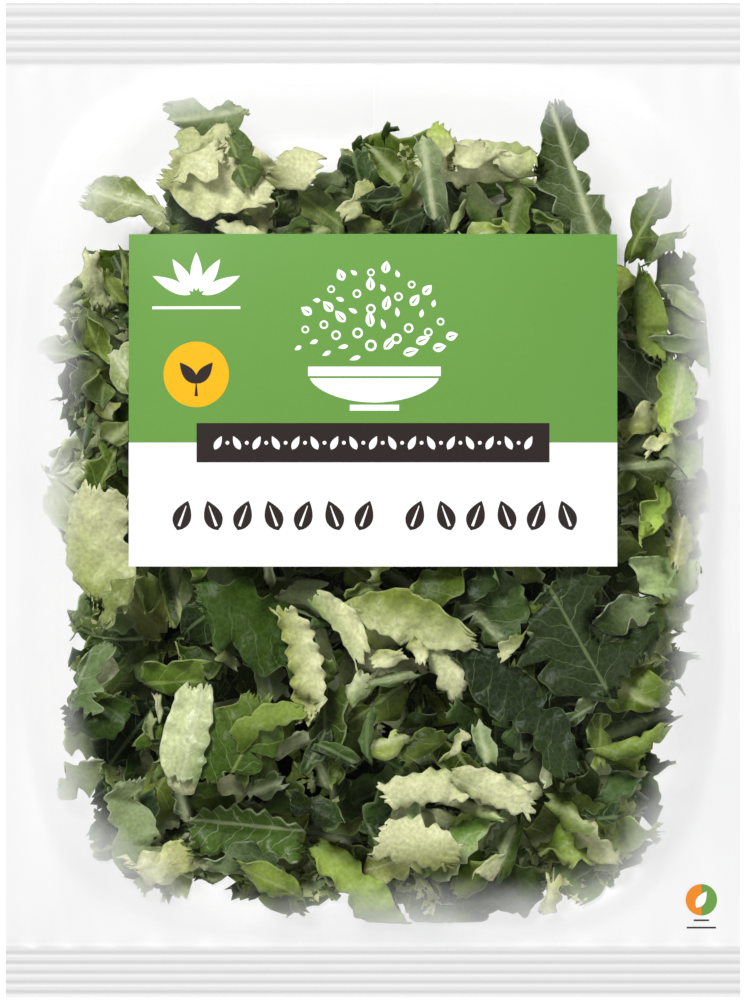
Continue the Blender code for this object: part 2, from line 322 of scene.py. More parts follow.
@dataclass(frozen=True)
class FilmFinish:
    """Clear film with a white mist printed towards its borders, a white back there and frosted crimps, lit by
    a painted glow.
    """

    half_width: float
    half_length: float
    seam: float
    top_seal: float
    bottom_seal: float
    clear: float = 0.002
    edge_gloss: float = 0.05
    mist: Point = (0.775, 0.965)
    backing: Point = (0.66, 0.78)
    blend: float = 1 * MM
    # The glows are painted light: the film emits them so that the mist, the crimps and the back stay white,
    # with no shade on the back.
    mist_glow: float = 0.435
    back_glow: float = 0.83
    mist_white: float = 0.435
    streak_white: Colour = (0.40, 0.40, 0.405)
    back_white: float = 0.14
    seal_white: float = 0.295

    def reach(self, paint: Paint, x: Level, y: Level) -> Level:
        """How far out a place is, from 0 in the middle to about 1 at the borders of the filled part.

        Args:
            paint: The material that is being made.
            x: The place across the bag.
            y: The place along the bag.

        Returns:
            The reach, with a slow drift.
        """
        drift = (paint.noise(paint.object_place(), 32.0, 3.0) - 0.5) * 0.13
        across = (abs(x) / self.half_width) ** 4.0
        along = (abs(y) / (self.half_length - 4 * MM)) ** 4.0
        return (across + along) ** 0.25 + drift

    def material(self) -> bpy.types.Material:
        """Builds the film: a faint mirror where it is clear, white where it is printed and where a painted
        glow lights it.
        """
        paint = Paint("clear_film")
        place = paint.object_place()
        x, y, z = paint.split(place)
        reach = self.reach(paint, x, y)
        behind = z.step(self.seam + 0.2 * self.blend, self.seam - self.blend)
        # The back behind the border, made white mostly by a painted glow.
        glowing_back = reach.step(*self.backing) * behind
        top = y.step(self.top_seal - self.blend, self.top_seal)
        sealed = top.most(y.step(self.bottom_seal + self.blend, self.bottom_seal))
        covered = reach.step(*self.mist).most(sealed).most(glowing_back)
        gloss = Level(paint.tree, paint.node("LayerWeight", {}, Blend=0.18).outputs["Fresnel"])
        streak = paint.noise(place, 14.0, 3.0)
        grain = paint.noise(place, 240.0, 3.0)
        paint.bump(grain * 0.4 + streak, 0.12, 0.4 * MM)
        misted = paint.mix(streak.step(0.42, 0.75), grey(self.mist_white), opaque(self.streak_white))
        body = paint.mix(sealed, paint.mix(glowing_back, misted, grey(self.back_white)), grey(self.seal_white))
        return paint.dress(
            Base_Color=body,
            Metallic=1.0 - covered.step(0.0, 0.25),
            Roughness=grain * 0.1 + 0.25,
            Specular_IOR_Level=0.25,
            # Painted glow: the film's own light, strongest on the back behind the border, stands in for the
            # lamps' light and hides the shadows there.
            Emission_Color=paint.mix(glowing_back, grey(self.mist_glow), grey(self.back_glow)),
            Emission_Strength=1.0,
            Alpha=(covered + gloss * self.edge_gloss + self.clear).held(),
        )


@dataclass(frozen=True)
class InkFinish:
    """Printed ink on coated film: one colour with a faint fleck and a satin varnish."""

    name: str
    colour: Colour
    roughness: float = 0.42

    def material(self) -> bpy.types.Material:
        """Builds the ink."""
        paint = Paint(self.name)
        place = paint.object_place()
        fleck = paint.noise(place, 900.0, 3.0)
        cloud = paint.noise(place, 25.0, 2.0)
        shaded = paint.scaled(self.colour, fleck * 0.05 + cloud * 0.06 + 0.945)
        paint.bump(fleck, 0.08, 0.05 * MM)
        dull = fleck * 0.1 + (self.roughness - 0.05)
        return paint.dress(Base_Color=shaded, Roughness=dull, Specular_IOR_Level=0.12)


@dataclass(frozen=True)
class FloorFinish:
    """A plain pale studio floor."""

    colour: Colour = (0.90, 0.90, 0.90)

    def material(self) -> bpy.types.Material:
        """Builds the floor."""
        paint = Paint("studio_floor")
        return paint.dress(Base_Color=opaque(self.colour), Roughness=0.9)


# Shape of the bag


def smooth(share: np.ndarray) -> np.ndarray:
    """Eases a share that runs from 0 to 1, and holds it there outside."""
    held = np.clip(share, 0, 1)
    return held * held * (3 - 2 * held)


@dataclass(frozen=True)
class BagForm:
    """The filled bag's shape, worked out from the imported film's box."""

    half_width: float
    half_length: float
    height: float
    seam: float = 15 * MM
    layer: float = 0.45 * MM
    top_seal: float = 17 * MM
    bottom_seal: float = 14 * MM
    ribs: int = 5
    rib_depth: float = 0.35 * MM
    side_margin: float = 3 * MM
    corner: float = 4.0
    dome: float = 3.0
    fall: float = 0.6
    foot: float = 0.76
    foot_fall: float = 0.8
    flat_back: float = 0.70
    fin_width: float = 11.5 * MM
    fin_ramp: float = 1.5 * MM
    fin_recess: float = 0.9 * MM

    @property
    def filled_top(self) -> float:
        """Where the top seal starts."""
        return self.half_length - self.top_seal

    @property
    def filled_bottom(self) -> float:
        """Where the bottom seal starts."""
        return self.bottom_seal - self.half_length

    def reach(self, x: np.ndarray, y: np.ndarray) -> np.ndarray:
        """How far out a place is: 0 in the middle of the filled part, 1 at its border."""
        middle = (self.filled_top + self.filled_bottom) / 2
        across = np.abs(x) / (self.half_width - self.side_margin)
        along = np.abs(y - middle) / (self.filled_top - middle)
        return (across**self.corner + along**self.corner) ** (1 / self.corner)

    def rib_wave(self, y: np.ndarray) -> np.ndarray:
        """The height of the crimped ribs in the two seals."""
        top = (y - self.filled_top) / self.top_seal
        bottom = (self.filled_bottom - y) / self.bottom_seal
        phase = np.clip(np.maximum(top, bottom), 0, 1)
        return self.rib_depth * np.sin(2 * np.pi * self.ribs * phase)

    def front(self, x: np.ndarray, y: np.ndarray) -> np.ndarray:
        """The height of the front film."""
        reach = self.reach(x, y)
        fall = self.fall + self.foot_fall * smooth((reach - self.foot) / (1 - self.foot))
        dome = np.maximum(1 - reach**self.dome, 0) ** fall
        base = self.seam + self.layer
        return base + (self.height - base) * dome + self.rib_wave(y)

    def back_fullness(self, x: np.ndarray, y: np.ndarray) -> np.ndarray:
        """1 where the back lies flat on the surface below, 0 at the border."""
        return 1 - smooth((self.reach(x, y) - self.flat_back) / (1 - self.flat_back))

    def back(self, x: np.ndarray, y: np.ndarray) -> np.ndarray:
        """The height of the back film."""
        flat = (self.seam - self.layer) * (1 - self.back_fullness(x, y))
        return flat + self.rib_wave(y)

    def recess(self, x: np.ndarray, y: np.ndarray) -> np.ndarray:
        """How far the back is lifted over the folded fin."""
        before, after = x + self.fin_ramp, self.fin_width + 2 * self.fin_ramp - x
        share = np.clip(np.minimum(before, after) / self.fin_ramp, 0, 1)
        return self.fin_recess * share * self.back_fullness(np.zeros_like(x), y)


def new_object(name: str, bm: bmesh.types.BMesh, materials: Sequence[bpy.types.Material]) -> bpy.types.Object:
    """Turns a finished bmesh into a smooth-shaded object at the origin.

    Args:
        name: The object's name.
        bm: The shape, which is freed.
        materials: The materials of its slots.

    Returns:
        The object.
    """
    mesh = bpy.data.meshes.new(name)
    bm.to_mesh(mesh)
    bm.free()
    for item in materials:
        mesh.materials.append(item)
    mesh.shade_smooth()
    made = bpy.data.objects.new(name, mesh)
    bpy.context.scene.collection.objects.link(made)
    return made


def thicken(item: bpy.types.Object, thickness: float, offset: float = 0.0) -> None:
    """Gives a sheet its thickness with a Solidify modifier."""
    solid = item.modifiers.new("thickness", "SOLIDIFY")
    solid.thickness = thickness
    solid.offset = offset
    solid.use_even_offset = False


def report(item: bpy.types.Object, replaced: Iterable[str] = ()) -> bpy.types.Object:
    """Lets a finished piece ride on the body, hides the model's parts that it stands for, and logs it."""
    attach(item, BODY)
    names = list(replaced)
    if names:
        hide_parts(*names)
    log.info("%s: %d faces, stands for %s", item.name, len(item.data.polygons), names or "nothing")
    return item


# The film


@dataclass
class FilmBag:
    """One web of film, folded round the leaves, sealed down the back and crimped at both ends."""

    form: BagForm
    finish: FilmFinish
    thickness: float = 0.08 * MM
    lip: float = 0.25 * MM
    seal_rows: int = 26
    body_rows: int = 130
    front_columns: int = 90
    back_columns: int = 34
    fin_columns: int = 4

    def section(self) -> tuple[np.ndarray, np.ndarray, np.ndarray]:
        """The web's path round the bag, from one lip of the fin seal to the other.

        Returns:
            The place across, which side it is on (1 front, 0 back) and the drop below that side, by column.
        """
        half, tip, neck = self.form.half_width, self.form.fin_width, 0.4 * MM
        low, high = 3 * self.lip, 1.4 * self.lip
        fin = np.linspace(tip, neck, self.fin_columns)
        left = -half * np.sin(np.linspace(0.0, 1.0, self.back_columns) * np.pi / 2)
        over = half * np.sin(np.linspace(-1.0, 1.0, self.front_columns) * np.pi / 2)
        right = neck + (half - neck) * np.sin(np.linspace(1.0, 0.0, self.back_columns) * np.pi / 2)
        across = np.concatenate([fin, left, over, right, fin[::-1]])
        sides = np.repeat([0.0, 1.0, 0.0], [fin.size + left.size, over.size, right.size + fin.size])
        drops = np.zeros(across.size)
        drops[: fin.size] = low
        drops[-fin.size :] = high
        return across, sides, drops

    def rows(self) -> np.ndarray:
        """Places along the bag, close together in the seals."""
        form = self.form
        bottom = np.linspace(-form.half_length, form.filled_bottom, self.seal_rows, endpoint=False)
        body = np.linspace(form.filled_bottom, form.filled_top, self.body_rows, endpoint=False)
        top = np.linspace(form.filled_top, form.half_length, self.seal_rows)
        return np.concatenate([bottom, body, top])

    def creases(self, x: np.ndarray, y: np.ndarray) -> np.ndarray:
        """The soft puckers that run in from the seals and down both sides."""
        form = self.form
        gap = np.minimum(form.filled_top - y, y - form.filled_bottom)
        near = np.exp(-np.clip(gap, 0, None) / (11 * MM)) * (gap > 0) * np.clip(gap / (2 * MM), 0, 1)
        pucker = np.sin(x / (1.9 * MM) + 2.2 * np.sin(x / (17 * MM)) + 0.9 * np.sin(y / (9 * MM)))
        side = np.exp(-(((form.half_width - np.abs(x)) - 9 * MM) / (6 * MM)) ** 2) * (gap > 0)
        fold = np.sin(y / (13 * MM) + 1.5 * np.sin(y / (31 * MM)) + np.sign(x))
        return 0.42 * MM * near * pucker + 0.5 * MM * side * fold * np.clip(gap / (12 * MM), 0, 1)

    def build(self) -> bpy.types.Object:
        """Wraps a flat grid of film round the section at every row."""
        across, sides, drops = self.section()
        rows = self.rows()
        bm = bmesh.new()
        columns, count = across.size, rows.size
        bmesh.ops.create_grid(bm, x_segments=columns - 1, y_segments=count - 1, size=1.0)
        flat = np.array([v.co for v in bm.verts])
        i = np.rint((flat[:, 0] + 1) / 2 * (columns - 1)).astype(int)
        j = np.rint((flat[:, 1] + 1) / 2 * (count - 1)).astype(int)
        x, y = across[i], rows[j]
        front = self.form.front(x, y) - self.form.layer + self.lip / 2 + self.creases(x, y)
        back = self.form.back(x, y) + self.form.recess(x, y) - drops[i]
        raised = self.form.back(x, y) + self.form.layer - self.lip / 2 * (1 - self.form.back_fullness(x, y))
        sealed = np.minimum(raised, front) + self.form.recess(x, y) - self.form.layer
        panel = np.where(drops[i] > 0, back, sealed)
        z = np.where(sides[i] > 0.5, front, np.maximum(panel, self.thickness))
        for vert, place in zip(bm.verts, np.stack([x, y, z], axis=1)):
            vert.co = place
        bmesh.ops.recalc_face_normals(bm, faces=bm.faces)
        made = new_object("film_web", bm, [self.finish.material()])
        made.visible_shadow = False
        web = (4 * self.form.half_width + 2 * self.form.fin_width, 2 * self.form.half_length)
        return report(made, ["film_bag"])


# The label and its print


@dataclass
class FrontLabel:
    """The printed label: a white sheet with a green panel, a dark band and plain leaf motifs laid over it."""

    form: BagForm
    low: Vector
    high: Vector
    lift: float = 0.45 * MM
    thickness: float = 0.12 * MM
    ink: float = 0.03 * MM
    step: float = 4 * MM
    green_share: float = 0.627
    layer_gap: float = 0.06 * MM
    inks: dict[str, bpy.types.Material] = field(default_factory=dict)

    def ink_material(self, name: str, colour: Colour) -> bpy.types.Material:
        """Makes an ink once, and gives the same material when it is asked for again."""
        if name not in self.inks:
            self.inks[name] = InkFinish(name, colour).material()
        return self.inks[name]

    def surface(self, x: np.ndarray, y: np.ndarray, layer: int) -> np.ndarray:
        """The height of one layer of print above the film."""
        return self.form.front(x, y) + self.lift + layer * self.layer_gap

    def sheet(
        self, name: str, low: Point, high: Point, layer: int, ink: bpy.types.Material
    ) -> bpy.types.Object:
        """Lays a rectangle of print that follows the film.

        Args:
            name: The piece's name.
            low: Its lower left corner.
            high: Its upper right corner.
            layer: How many layers of print lie below it.
            ink: Its material.

        Returns:
            The piece, not yet reported.
        """
        columns = max(2, round((high[0] - low[0]) / self.step))
        rows = max(2, round((high[1] - low[1]) / self.step))
        bm = bmesh.new()
        bmesh.ops.create_grid(bm, x_segments=columns, y_segments=rows, size=0.5)
        bmesh.ops.scale(bm, vec=(high[0] - low[0], high[1] - low[1], 1.0), verts=bm.verts)
        middle = ((low[0] + high[0]) / 2, (low[1] + high[1]) / 2, 0.0)
        bmesh.ops.translate(bm, vec=middle, verts=bm.verts)
        return self.laid(name, bm, layer, ink)

    def laid(self, name: str, bm: bmesh.types.BMesh, layer: int, ink: bpy.types.Material) -> bpy.types.Object:
        """Drops a flat shape onto the label and gives it the ink's thickness."""
        flat = np.array([v.co for v in bm.verts])
        heights = self.surface(flat[:, 0], flat[:, 1], layer)
        for vert, height in zip(bm.verts, heights):
            vert.co.z = height
        for edge in bm.edges:
            edge.smooth = not edge.is_boundary
        made = new_object(name, bm, [ink])
        thicken(made, self.thickness if layer == 0 else self.ink, -1.0)
        return made

    def motifs(
        self, name: str, outlines: Sequence[Sequence[Point]], layer: int, ink: bpy.types.Material
    ) -> None:
        """Prints a group of filled outlines as one piece.

        Args:
            name: The piece's name.
            outlines: The outlines, each as its corner points in order.
            layer: How many layers of print lie below them.
            ink: Their material.
        """
        bm = bmesh.new()
        for outline in outlines:
            corners = [bm.verts.new((x, y, 0.0)) for x, y in outline]
            bm.faces.new(corners)
        bmesh.ops.recalc_face_normals(bm, faces=bm.faces)
        down = [f for f in bm.faces if f.normal.z < 0]
        bmesh.ops.reverse_faces(bm, faces=down)
        bmesh.ops.triangulate(bm, faces=bm.faces)
        flat = np.array([v.co for v in bm.verts])
        for axis in (0, 1):
            normal = Vector((1.0 - axis, float(axis), 0.0))
            for cut in np.arange(flat[:, axis].min() + self.step, flat[:, axis].max(), self.step):
                everything = bm.verts[:] + bm.edges[:] + bm.faces[:]
                bmesh.ops.bisect_plane(bm, geom=everything, dist=1e-7, plane_co=normal * cut, plane_no=normal)
        printed = self.laid(name, bm, layer, ink)
        printed.visible_shadow = False
        report(printed)

    def build(self) -> None:
        """Lays the white sheet, the panels and every motif."""
        low, high = (self.low.x, self.low.y), (self.high.x, self.high.y)
        white = self.ink_material("label_white", (0.94, 0.94, 0.94))
        green = self.ink_material("label_green", (0.141, 0.330, 0.063))
        brown = self.ink_material("label_brown", (0.028, 0.020, 0.0185))
        yellow = self.ink_material("label_yellow", (0.88, 0.46, 0.008))
        base = self.sheet("label_sheet", low, high, 0, white)
        report(base, ["front_label"])
        split = high[1] - self.green_share * (high[1] - low[1])
        report(self.sheet("label_green_panel", (low[0], split), high, 1, green))
        band_low, band_high = (-50.0 * MM, 10.7 * MM), (50.0 * MM, 21.8 * MM)
        report(self.sheet("label_dark_band", band_low, band_high, 2, brown))
        art = LabelArt()
        self.motifs("label_sprig_mark", art.sprig(), 2, white)
        self.motifs("label_round_badge", [disc(art.badge_place, art.badge_radius, 48)], 2, yellow)
        self.motifs("label_badge_leaf", art.badge_leaf(), 3, brown)
        self.motifs("label_bowl", art.bowl(), 2, white)
        self.motifs("label_bowl_salad", art.salad(), 2, white)
        self.motifs("label_salad_veins", art.salad_veins(), 3, green)
        self.motifs("label_band_motifs", art.band_row(), 3, white)
        self.motifs("label_title_leaves", art.title_row(), 1, brown)
        self.motifs("label_title_veins", art.title_veins(), 2, white)
        self.motifs("corner_dot", [disc(art.corner_place, art.corner_radius, 40)], 0, green)
        orange = self.ink_material("label_orange", (0.80, 0.24, 0.02))
        self.motifs("corner_dot_side", art.corner_side(), 1, orange)
        self.motifs("corner_leaf", art.corner_leaf(), 2, white)
        self.motifs("corner_bars", art.corner_bars(), 0, brown)


def turned(points: Iterable[Point], degrees: float, place: Point) -> list[Point]:
    """Turns points about the origin, then moves them to a place."""
    c, s = math.cos(math.radians(degrees)), math.sin(math.radians(degrees))
    return [(place[0] + x * c - y * s, place[1] + x * s + y * c) for x, y in points]


def disc(place: Point, radius: float, count: int = 24) -> list[Point]:
    """The outline of a disc."""
    steps = (math.tau * i / count for i in range(count))
    return [(place[0] + radius * math.cos(a), place[1] + radius * math.sin(a)) for a in steps]


def leaf_outline(place: Point, length: float, width: float, degrees: float, count: int = 12) -> list[Point]:
    """A pointed leaf that grows from a place.

    Args:
        place: The foot of the leaf.
        length: Its length.
        width: Its full width.
        degrees: Its direction, 0 along +X.
        count: How many steps each side has.

    Returns:
        The outline.
    """
    steps = [i / count for i in range(count + 1)]
    side = [(length * s, width / 2 * math.sin(math.pi * s**0.8) ** 0.9) for s in steps]
    back = [(x, -y) for x, y in reversed(side[1:-1])]
    return turned(side + back, degrees, place)


def bar(low: Point, high: Point) -> list[Point]:
    """The outline of an upright rectangle."""
    return [low, (high[0], low[1]), high, (low[0], high[1])]


def stroke(place: Point, length: float, width: float, degrees: float, start: float = 0.0) -> list[Point]:
    """A thin straight stroke that starts a little way from a place."""
    half = width / 2
    shape = [(start, -half), (length, -half * 0.3), (length, half * 0.3), (start, half)]
    return turned(shape, degrees, place)


@dataclass(frozen=True)
class LabelArt:
    """The label's motifs, all plain leaves, discs and bars, with no lettering."""

    sprig_place: Point = (-50.1 * MM, 57.5 * MM)
    badge_place: Point = (-50.1 * MM, 35.6 * MM)
    badge_radius: float = 9.3 * MM
    bowl_place: Point = (0.4 * MM, 37.4 * MM)
    bowl_half: float = 18.8 * MM
    bowl_depth: float = 6.9 * MM
    title_y: float = -4.3 * MM
    title_height: float = 8.6 * MM
    band_y: float = 16.2 * MM
    corner_place: Point = (93.8 * MM, -114.2 * MM)
    corner_radius: float = 4.5 * MM

    def sprig(self) -> list[list[Point]]:
        """Five leaves on one foot above a thin bar."""
        x, y = self.sprig_place
        fan = ((90, 11.0), (58, 11.0), (122, 11.0), (26, 12.0), (154, 12.0))
        leaves = []
        for angle, length in fan:
            foot = turned([(1.8 * MM, 0.0)], angle, (x, y))[0]
            leaves.append(leaf_outline(foot, length * MM, 3.4 * MM, angle))
        return leaves + [bar((x - 12.5 * MM, y - 3.4 * MM), (x + 12.5 * MM, y - 2.6 * MM))]

    def badge_leaf(self) -> list[list[Point]]:
        """Two small leaves side by side on the round badge, over a short stalk."""
        x, y = self.badge_place
        foot = (x, y - 2.6 * MM)
        leaves = [leaf_outline(foot, 7.6 * MM, 3.4 * MM, angle) for angle in (52, 128)]
        return leaves + [stroke((x, y - 6.2 * MM), 3.6 * MM, 1.0 * MM, 90)]

    def bowl(self) -> list[list[Point]]:
        """A wide bowl with a broad rim and a foot."""
        x, y = self.bowl_place
        rim = bar((x - self.bowl_half, y - 2.3 * MM), (x + self.bowl_half, y + 0.4 * MM))
        sweep = [math.pi * (1 + i / 24) for i in range(25)]
        half, top, low = 0.97 * self.bowl_half, y - 2.9 * MM, y - 2.9 * MM - self.bowl_depth
        body = [(x + half * math.cos(a), top - self.bowl_depth * abs(math.sin(a)) ** 1.3) for a in sweep]
        foot = bar((x - 7 * MM, low - 2.3 * MM), (x + 7 * MM, low - 0.6 * MM))
        return [rim, body, foot]

    def salad_places(self) -> list[tuple[Point, float, float]]:
        """Where each leaf and disc above the bowl grows, with how far out it is and where it points."""
        x, y = self.bowl_place
        places = []
        for ring in range(1, 6):
            for i in range(3 * ring):
                angle = math.radians(8 + 164 * (i + 0.25 + 0.5 * (ring % 2)) / (3 * ring))
                radius = 4.9 * ring * MM
                place = (x + 0.86 * radius * math.cos(angle), y + 1.4 * MM + 1.05 * radius * math.sin(angle))
                places.append((place, ring / 5, math.degrees(angle)))
        return places

    def salad(self) -> list[list[Point]]:
        """Leaves, discs and rounded slices heaped over the bowl."""
        shapes = []
        for i, (place, reach, angle) in enumerate(self.salad_places()):
            if i % 3 == 0:
                shapes.append(leaf_outline(place, (5.2 - 1.6 * reach) * MM, 2.6 * MM, angle))
            elif i % 3 == 1:
                shapes.append(disc(place, (1.8 - 0.7 * reach) * MM, 18))
            else:
                shapes.append(leaf_outline(place, (3.6 - 1.4 * reach) * MM, 1.3 * MM, angle + 40))
        return shapes

    def salad_veins(self) -> list[list[Point]]:
        """The green midribs and rings drawn on the salad."""
        shapes = []
        for i, (place, reach, angle) in enumerate(self.salad_places()):
            if i % 3 == 0:
                shapes.append(stroke(place, (4.2 - 1.6 * reach) * MM, 0.5 * MM, angle, 0.8 * MM))
            elif i % 3 == 1:
                shapes.append(disc(place, (1.05 - 0.42 * reach) * MM, 14))
        return shapes

    def band_row(self) -> list[list[Point]]:
        """Small leaves and dots in a row along the dark band."""
        shapes = []
        count = 33
        for i in range(count):
            x = (i - (count - 1) / 2) * 2.75 * MM
            if i % 2 == 0:
                tilt = 62 if i % 4 == 0 else 118
                foot = (x - 1.9 * MM * math.cos(math.radians(tilt)), self.band_y - 1.9 * MM)
                shapes.append(leaf_outline(foot, 4.3 * MM, 1.9 * MM, tilt, 8))
            else:
                shapes.append(disc((x, self.band_y), 0.55 * MM, 12))
        return shapes

    def title_places(self) -> list[tuple[Point, float]]:
        """The feet and directions of the title's two groups of leaves."""
        places = []
        for start, count in ((-54.0, 7), (12.0, 6)):
            for i in range(count):
                tilt = 70 if i % 2 == 0 else 110
                x = (start + 8.6 * i) * MM - 0.5 * self.title_height * math.cos(math.radians(tilt))
                places.append(((x, self.title_y - self.title_height / 2), tilt))
        return places

    def title_row(self) -> list[list[Point]]:
        """Bold leaves in two groups where a title would stand."""
        long = self.title_height * 1.04
        return [leaf_outline(place, long, 5.2 * MM, tilt) for place, tilt in self.title_places()]

    def title_veins(self) -> list[list[Point]]:
        """The pale midribs of the title's leaves."""
        long = self.title_height * 0.86
        return [stroke(place, long, 0.8 * MM, tilt, 1.3 * MM) for place, tilt in self.title_places()]

    def corner_side(self) -> list[list[Point]]:
        """The left side of the corner dot, as a half disc."""
        x, y = self.corner_place
        sweep = [math.pi * (0.5 + i / 20) for i in range(21)]
        return [[(x + self.corner_radius * math.cos(a), y + self.corner_radius * math.sin(a)) for a in sweep]]

    def corner_leaf(self) -> list[list[Point]]:
        """A small leaf on the corner dot."""
        x, y = self.corner_place
        return [leaf_outline((x - 1.4 * MM, y - 2.2 * MM), 5.4 * MM, 2.6 * MM, 58)]

    def corner_bars(self) -> list[list[Point]]:
        """Two thin bars under the corner dot."""
        x, y = self.corner_place
        first = bar((x - 2.2 * MM, y - 6.1 * MM), (x + 2.2 * MM, y - 5.6 * MM))
        second = bar((x - 4.2 * MM, y - 8.2 * MM), (x + 4.2 * MM, y - 7.7 * MM))
        return [first, second]


# Leaf pieces


@dataclass(frozen=True)
class LeafStyle:
    """How one kind of leaf piece is cut, bent and coloured. Lengths are in millimetres."""

    finish: LeafFinish
    blades: tuple[Colour, ...]
    heart: Colour
    under: Colour
    fade: tuple[float, float]
    under_share: float = 0.25
    taper: float = 0.35
    tooth: float = 0.0
    pitch: float = 4.2
    lobe: float = 0.26
    torn: float = 0.75
    ruffle: tuple[float, float] = (0.5, 1.9)
    cup: float = 0.5
    blister: float = 0.20
    curl_share: float = 0.65
    rib_share: float = 0.18
    veined_share: float = 0.4
    rib_width: float = 0.9
    thickness: float = 0.4


STYLES = {
    Kind.DARK: LeafStyle(
        LeafFinish(Kind.DARK, (0.15, 0.21, 0.09), 0.65, 0.18, 0.42, 0.14),
        blades=((0.015, 0.028, 0.007), (0.023, 0.042, 0.008), (0.017, 0.031, 0.011), (0.034, 0.062, 0.010)),
        heart=(0.10, 0.19, 0.035),
        under=(0.066, 0.102, 0.038),
        fade=(0.0, 0.4),
    ),
    Kind.MID: LeafStyle(
        LeafFinish(Kind.MID, (0.29, 0.36, 0.12), 0.55, 0.18, 0.42, 0.15),
        blades=((0.042, 0.076, 0.008), (0.070, 0.117, 0.011), (0.030, 0.056, 0.007)),
        heart=(0.21, 0.29, 0.050),
        under=(0.12, 0.17, 0.052),
        fade=(0.0, 0.5),
    ),
    Kind.PALE: LeafStyle(
        LeafFinish(Kind.PALE, (0.60, 0.62, 0.38), 0.40, 0.20, 0.38, 0.2, side_pitch=6.0, rim_share=0.3),
        blades=((0.22, 0.30, 0.055), (0.36, 0.42, 0.13), (0.30, 0.37, 0.09)),
        heart=(0.60, 0.62, 0.34),
        under=(0.40, 0.45, 0.18),
        fade=(0.1, 1.0),
        ruffle=(0.9, 2.4),
        blister=0.4,
    ),
    Kind.GREY: LeafStyle(
        LeafFinish(Kind.GREY, (0.38, 0.44, 0.29), 0.50, 0.18, 0.5, 0.15),
        blades=((0.080, 0.122, 0.046), (0.115, 0.162, 0.070), (0.060, 0.096, 0.036)),
        heart=(0.23, 0.29, 0.13),
        under=(0.20, 0.25, 0.135),
        fade=(0.0, 0.7),
    ),
    Kind.STRIP: LeafStyle(
        LeafFinish(Kind.STRIP, (0.66, 0.68, 0.46), 0.30, 0.12, 0.38, 0.2, side_pitch=5.0, rim_share=0.3),
        blades=((0.24, 0.36, 0.08), (0.34, 0.45, 0.13), (0.16, 0.27, 0.05)),
        heart=(0.60, 0.62, 0.34),
        under=(0.46, 0.50, 0.22),
        fade=(0.1, 1.0),
        taper=0.25,
        tooth=0.85,
        lobe=0.08,
        torn=0.2,
        curl_share=0.4,
        rib_share=0.1,
        thickness=0.6,
    ),
    Kind.RIB: LeafStyle(
        LeafFinish(Kind.RIB, (0.62, 0.66, 0.44), 0.40, 0.10, 0.34, 0.25),
        blades=((0.08, 0.14, 0.025), (0.17, 0.25, 0.06)),
        heart=(0.46, 0.51, 0.27),
        under=(0.18, 0.24, 0.09),
        fade=(0.1, 0.5),
        taper=0.3,
        torn=0.3,
        curl_share=0.3,
        rib_share=1.0,
        rib_width=2.2,
        thickness=0.9,
    ),
}


@dataclass
class LeafPiece:
    """One piece: its kind, its middle in plan, its size and turn, and what is known of its look.

    Lengths are in metres and the turn in degrees. fade is how far its colour runs to the heart's pale
    colour, curl how far it rolls up in degrees, under whether its underside shows, and limit the highest
    place of its middle. press is how much of it, in hundredths, gives way to what it lies against, tilt how
    far it may lean in degrees and twist how far its ends turn against each other in radians. tooth is the
    height of its crinkle-cut teeth in millimetres, taper how pointed it is, shade scales its colour, rib
    says whether it has a pale rib, plain whether its outline is whole, and fine whether it has small facets.
    What is None is drawn by chance.
    """

    kind: Kind
    x: float
    y: float
    length: float
    width: float
    turn: float
    fade: float | None = None
    curl: float | None = None
    under: bool | None = None
    limit: float = 1.0
    press: float = 30.0
    tilt: float = 14.0
    twist: float | None = None
    tooth: float | None = None
    taper: float | None = None
    # shade scales the colour for a piece's own tone; on the pieces at the heap's right side in SEEN_CUTS it
    # is painted light.
    shade: float | None = None
    rib: bool | None = None
    plain: bool = False
    fine: bool = False


@dataclass
class CutLeaf:
    """A leaf piece as grids of points, with the surface values that its material reads."""

    points: np.ndarray
    place: np.ndarray
    tint: np.ndarray
    rim: np.ndarray


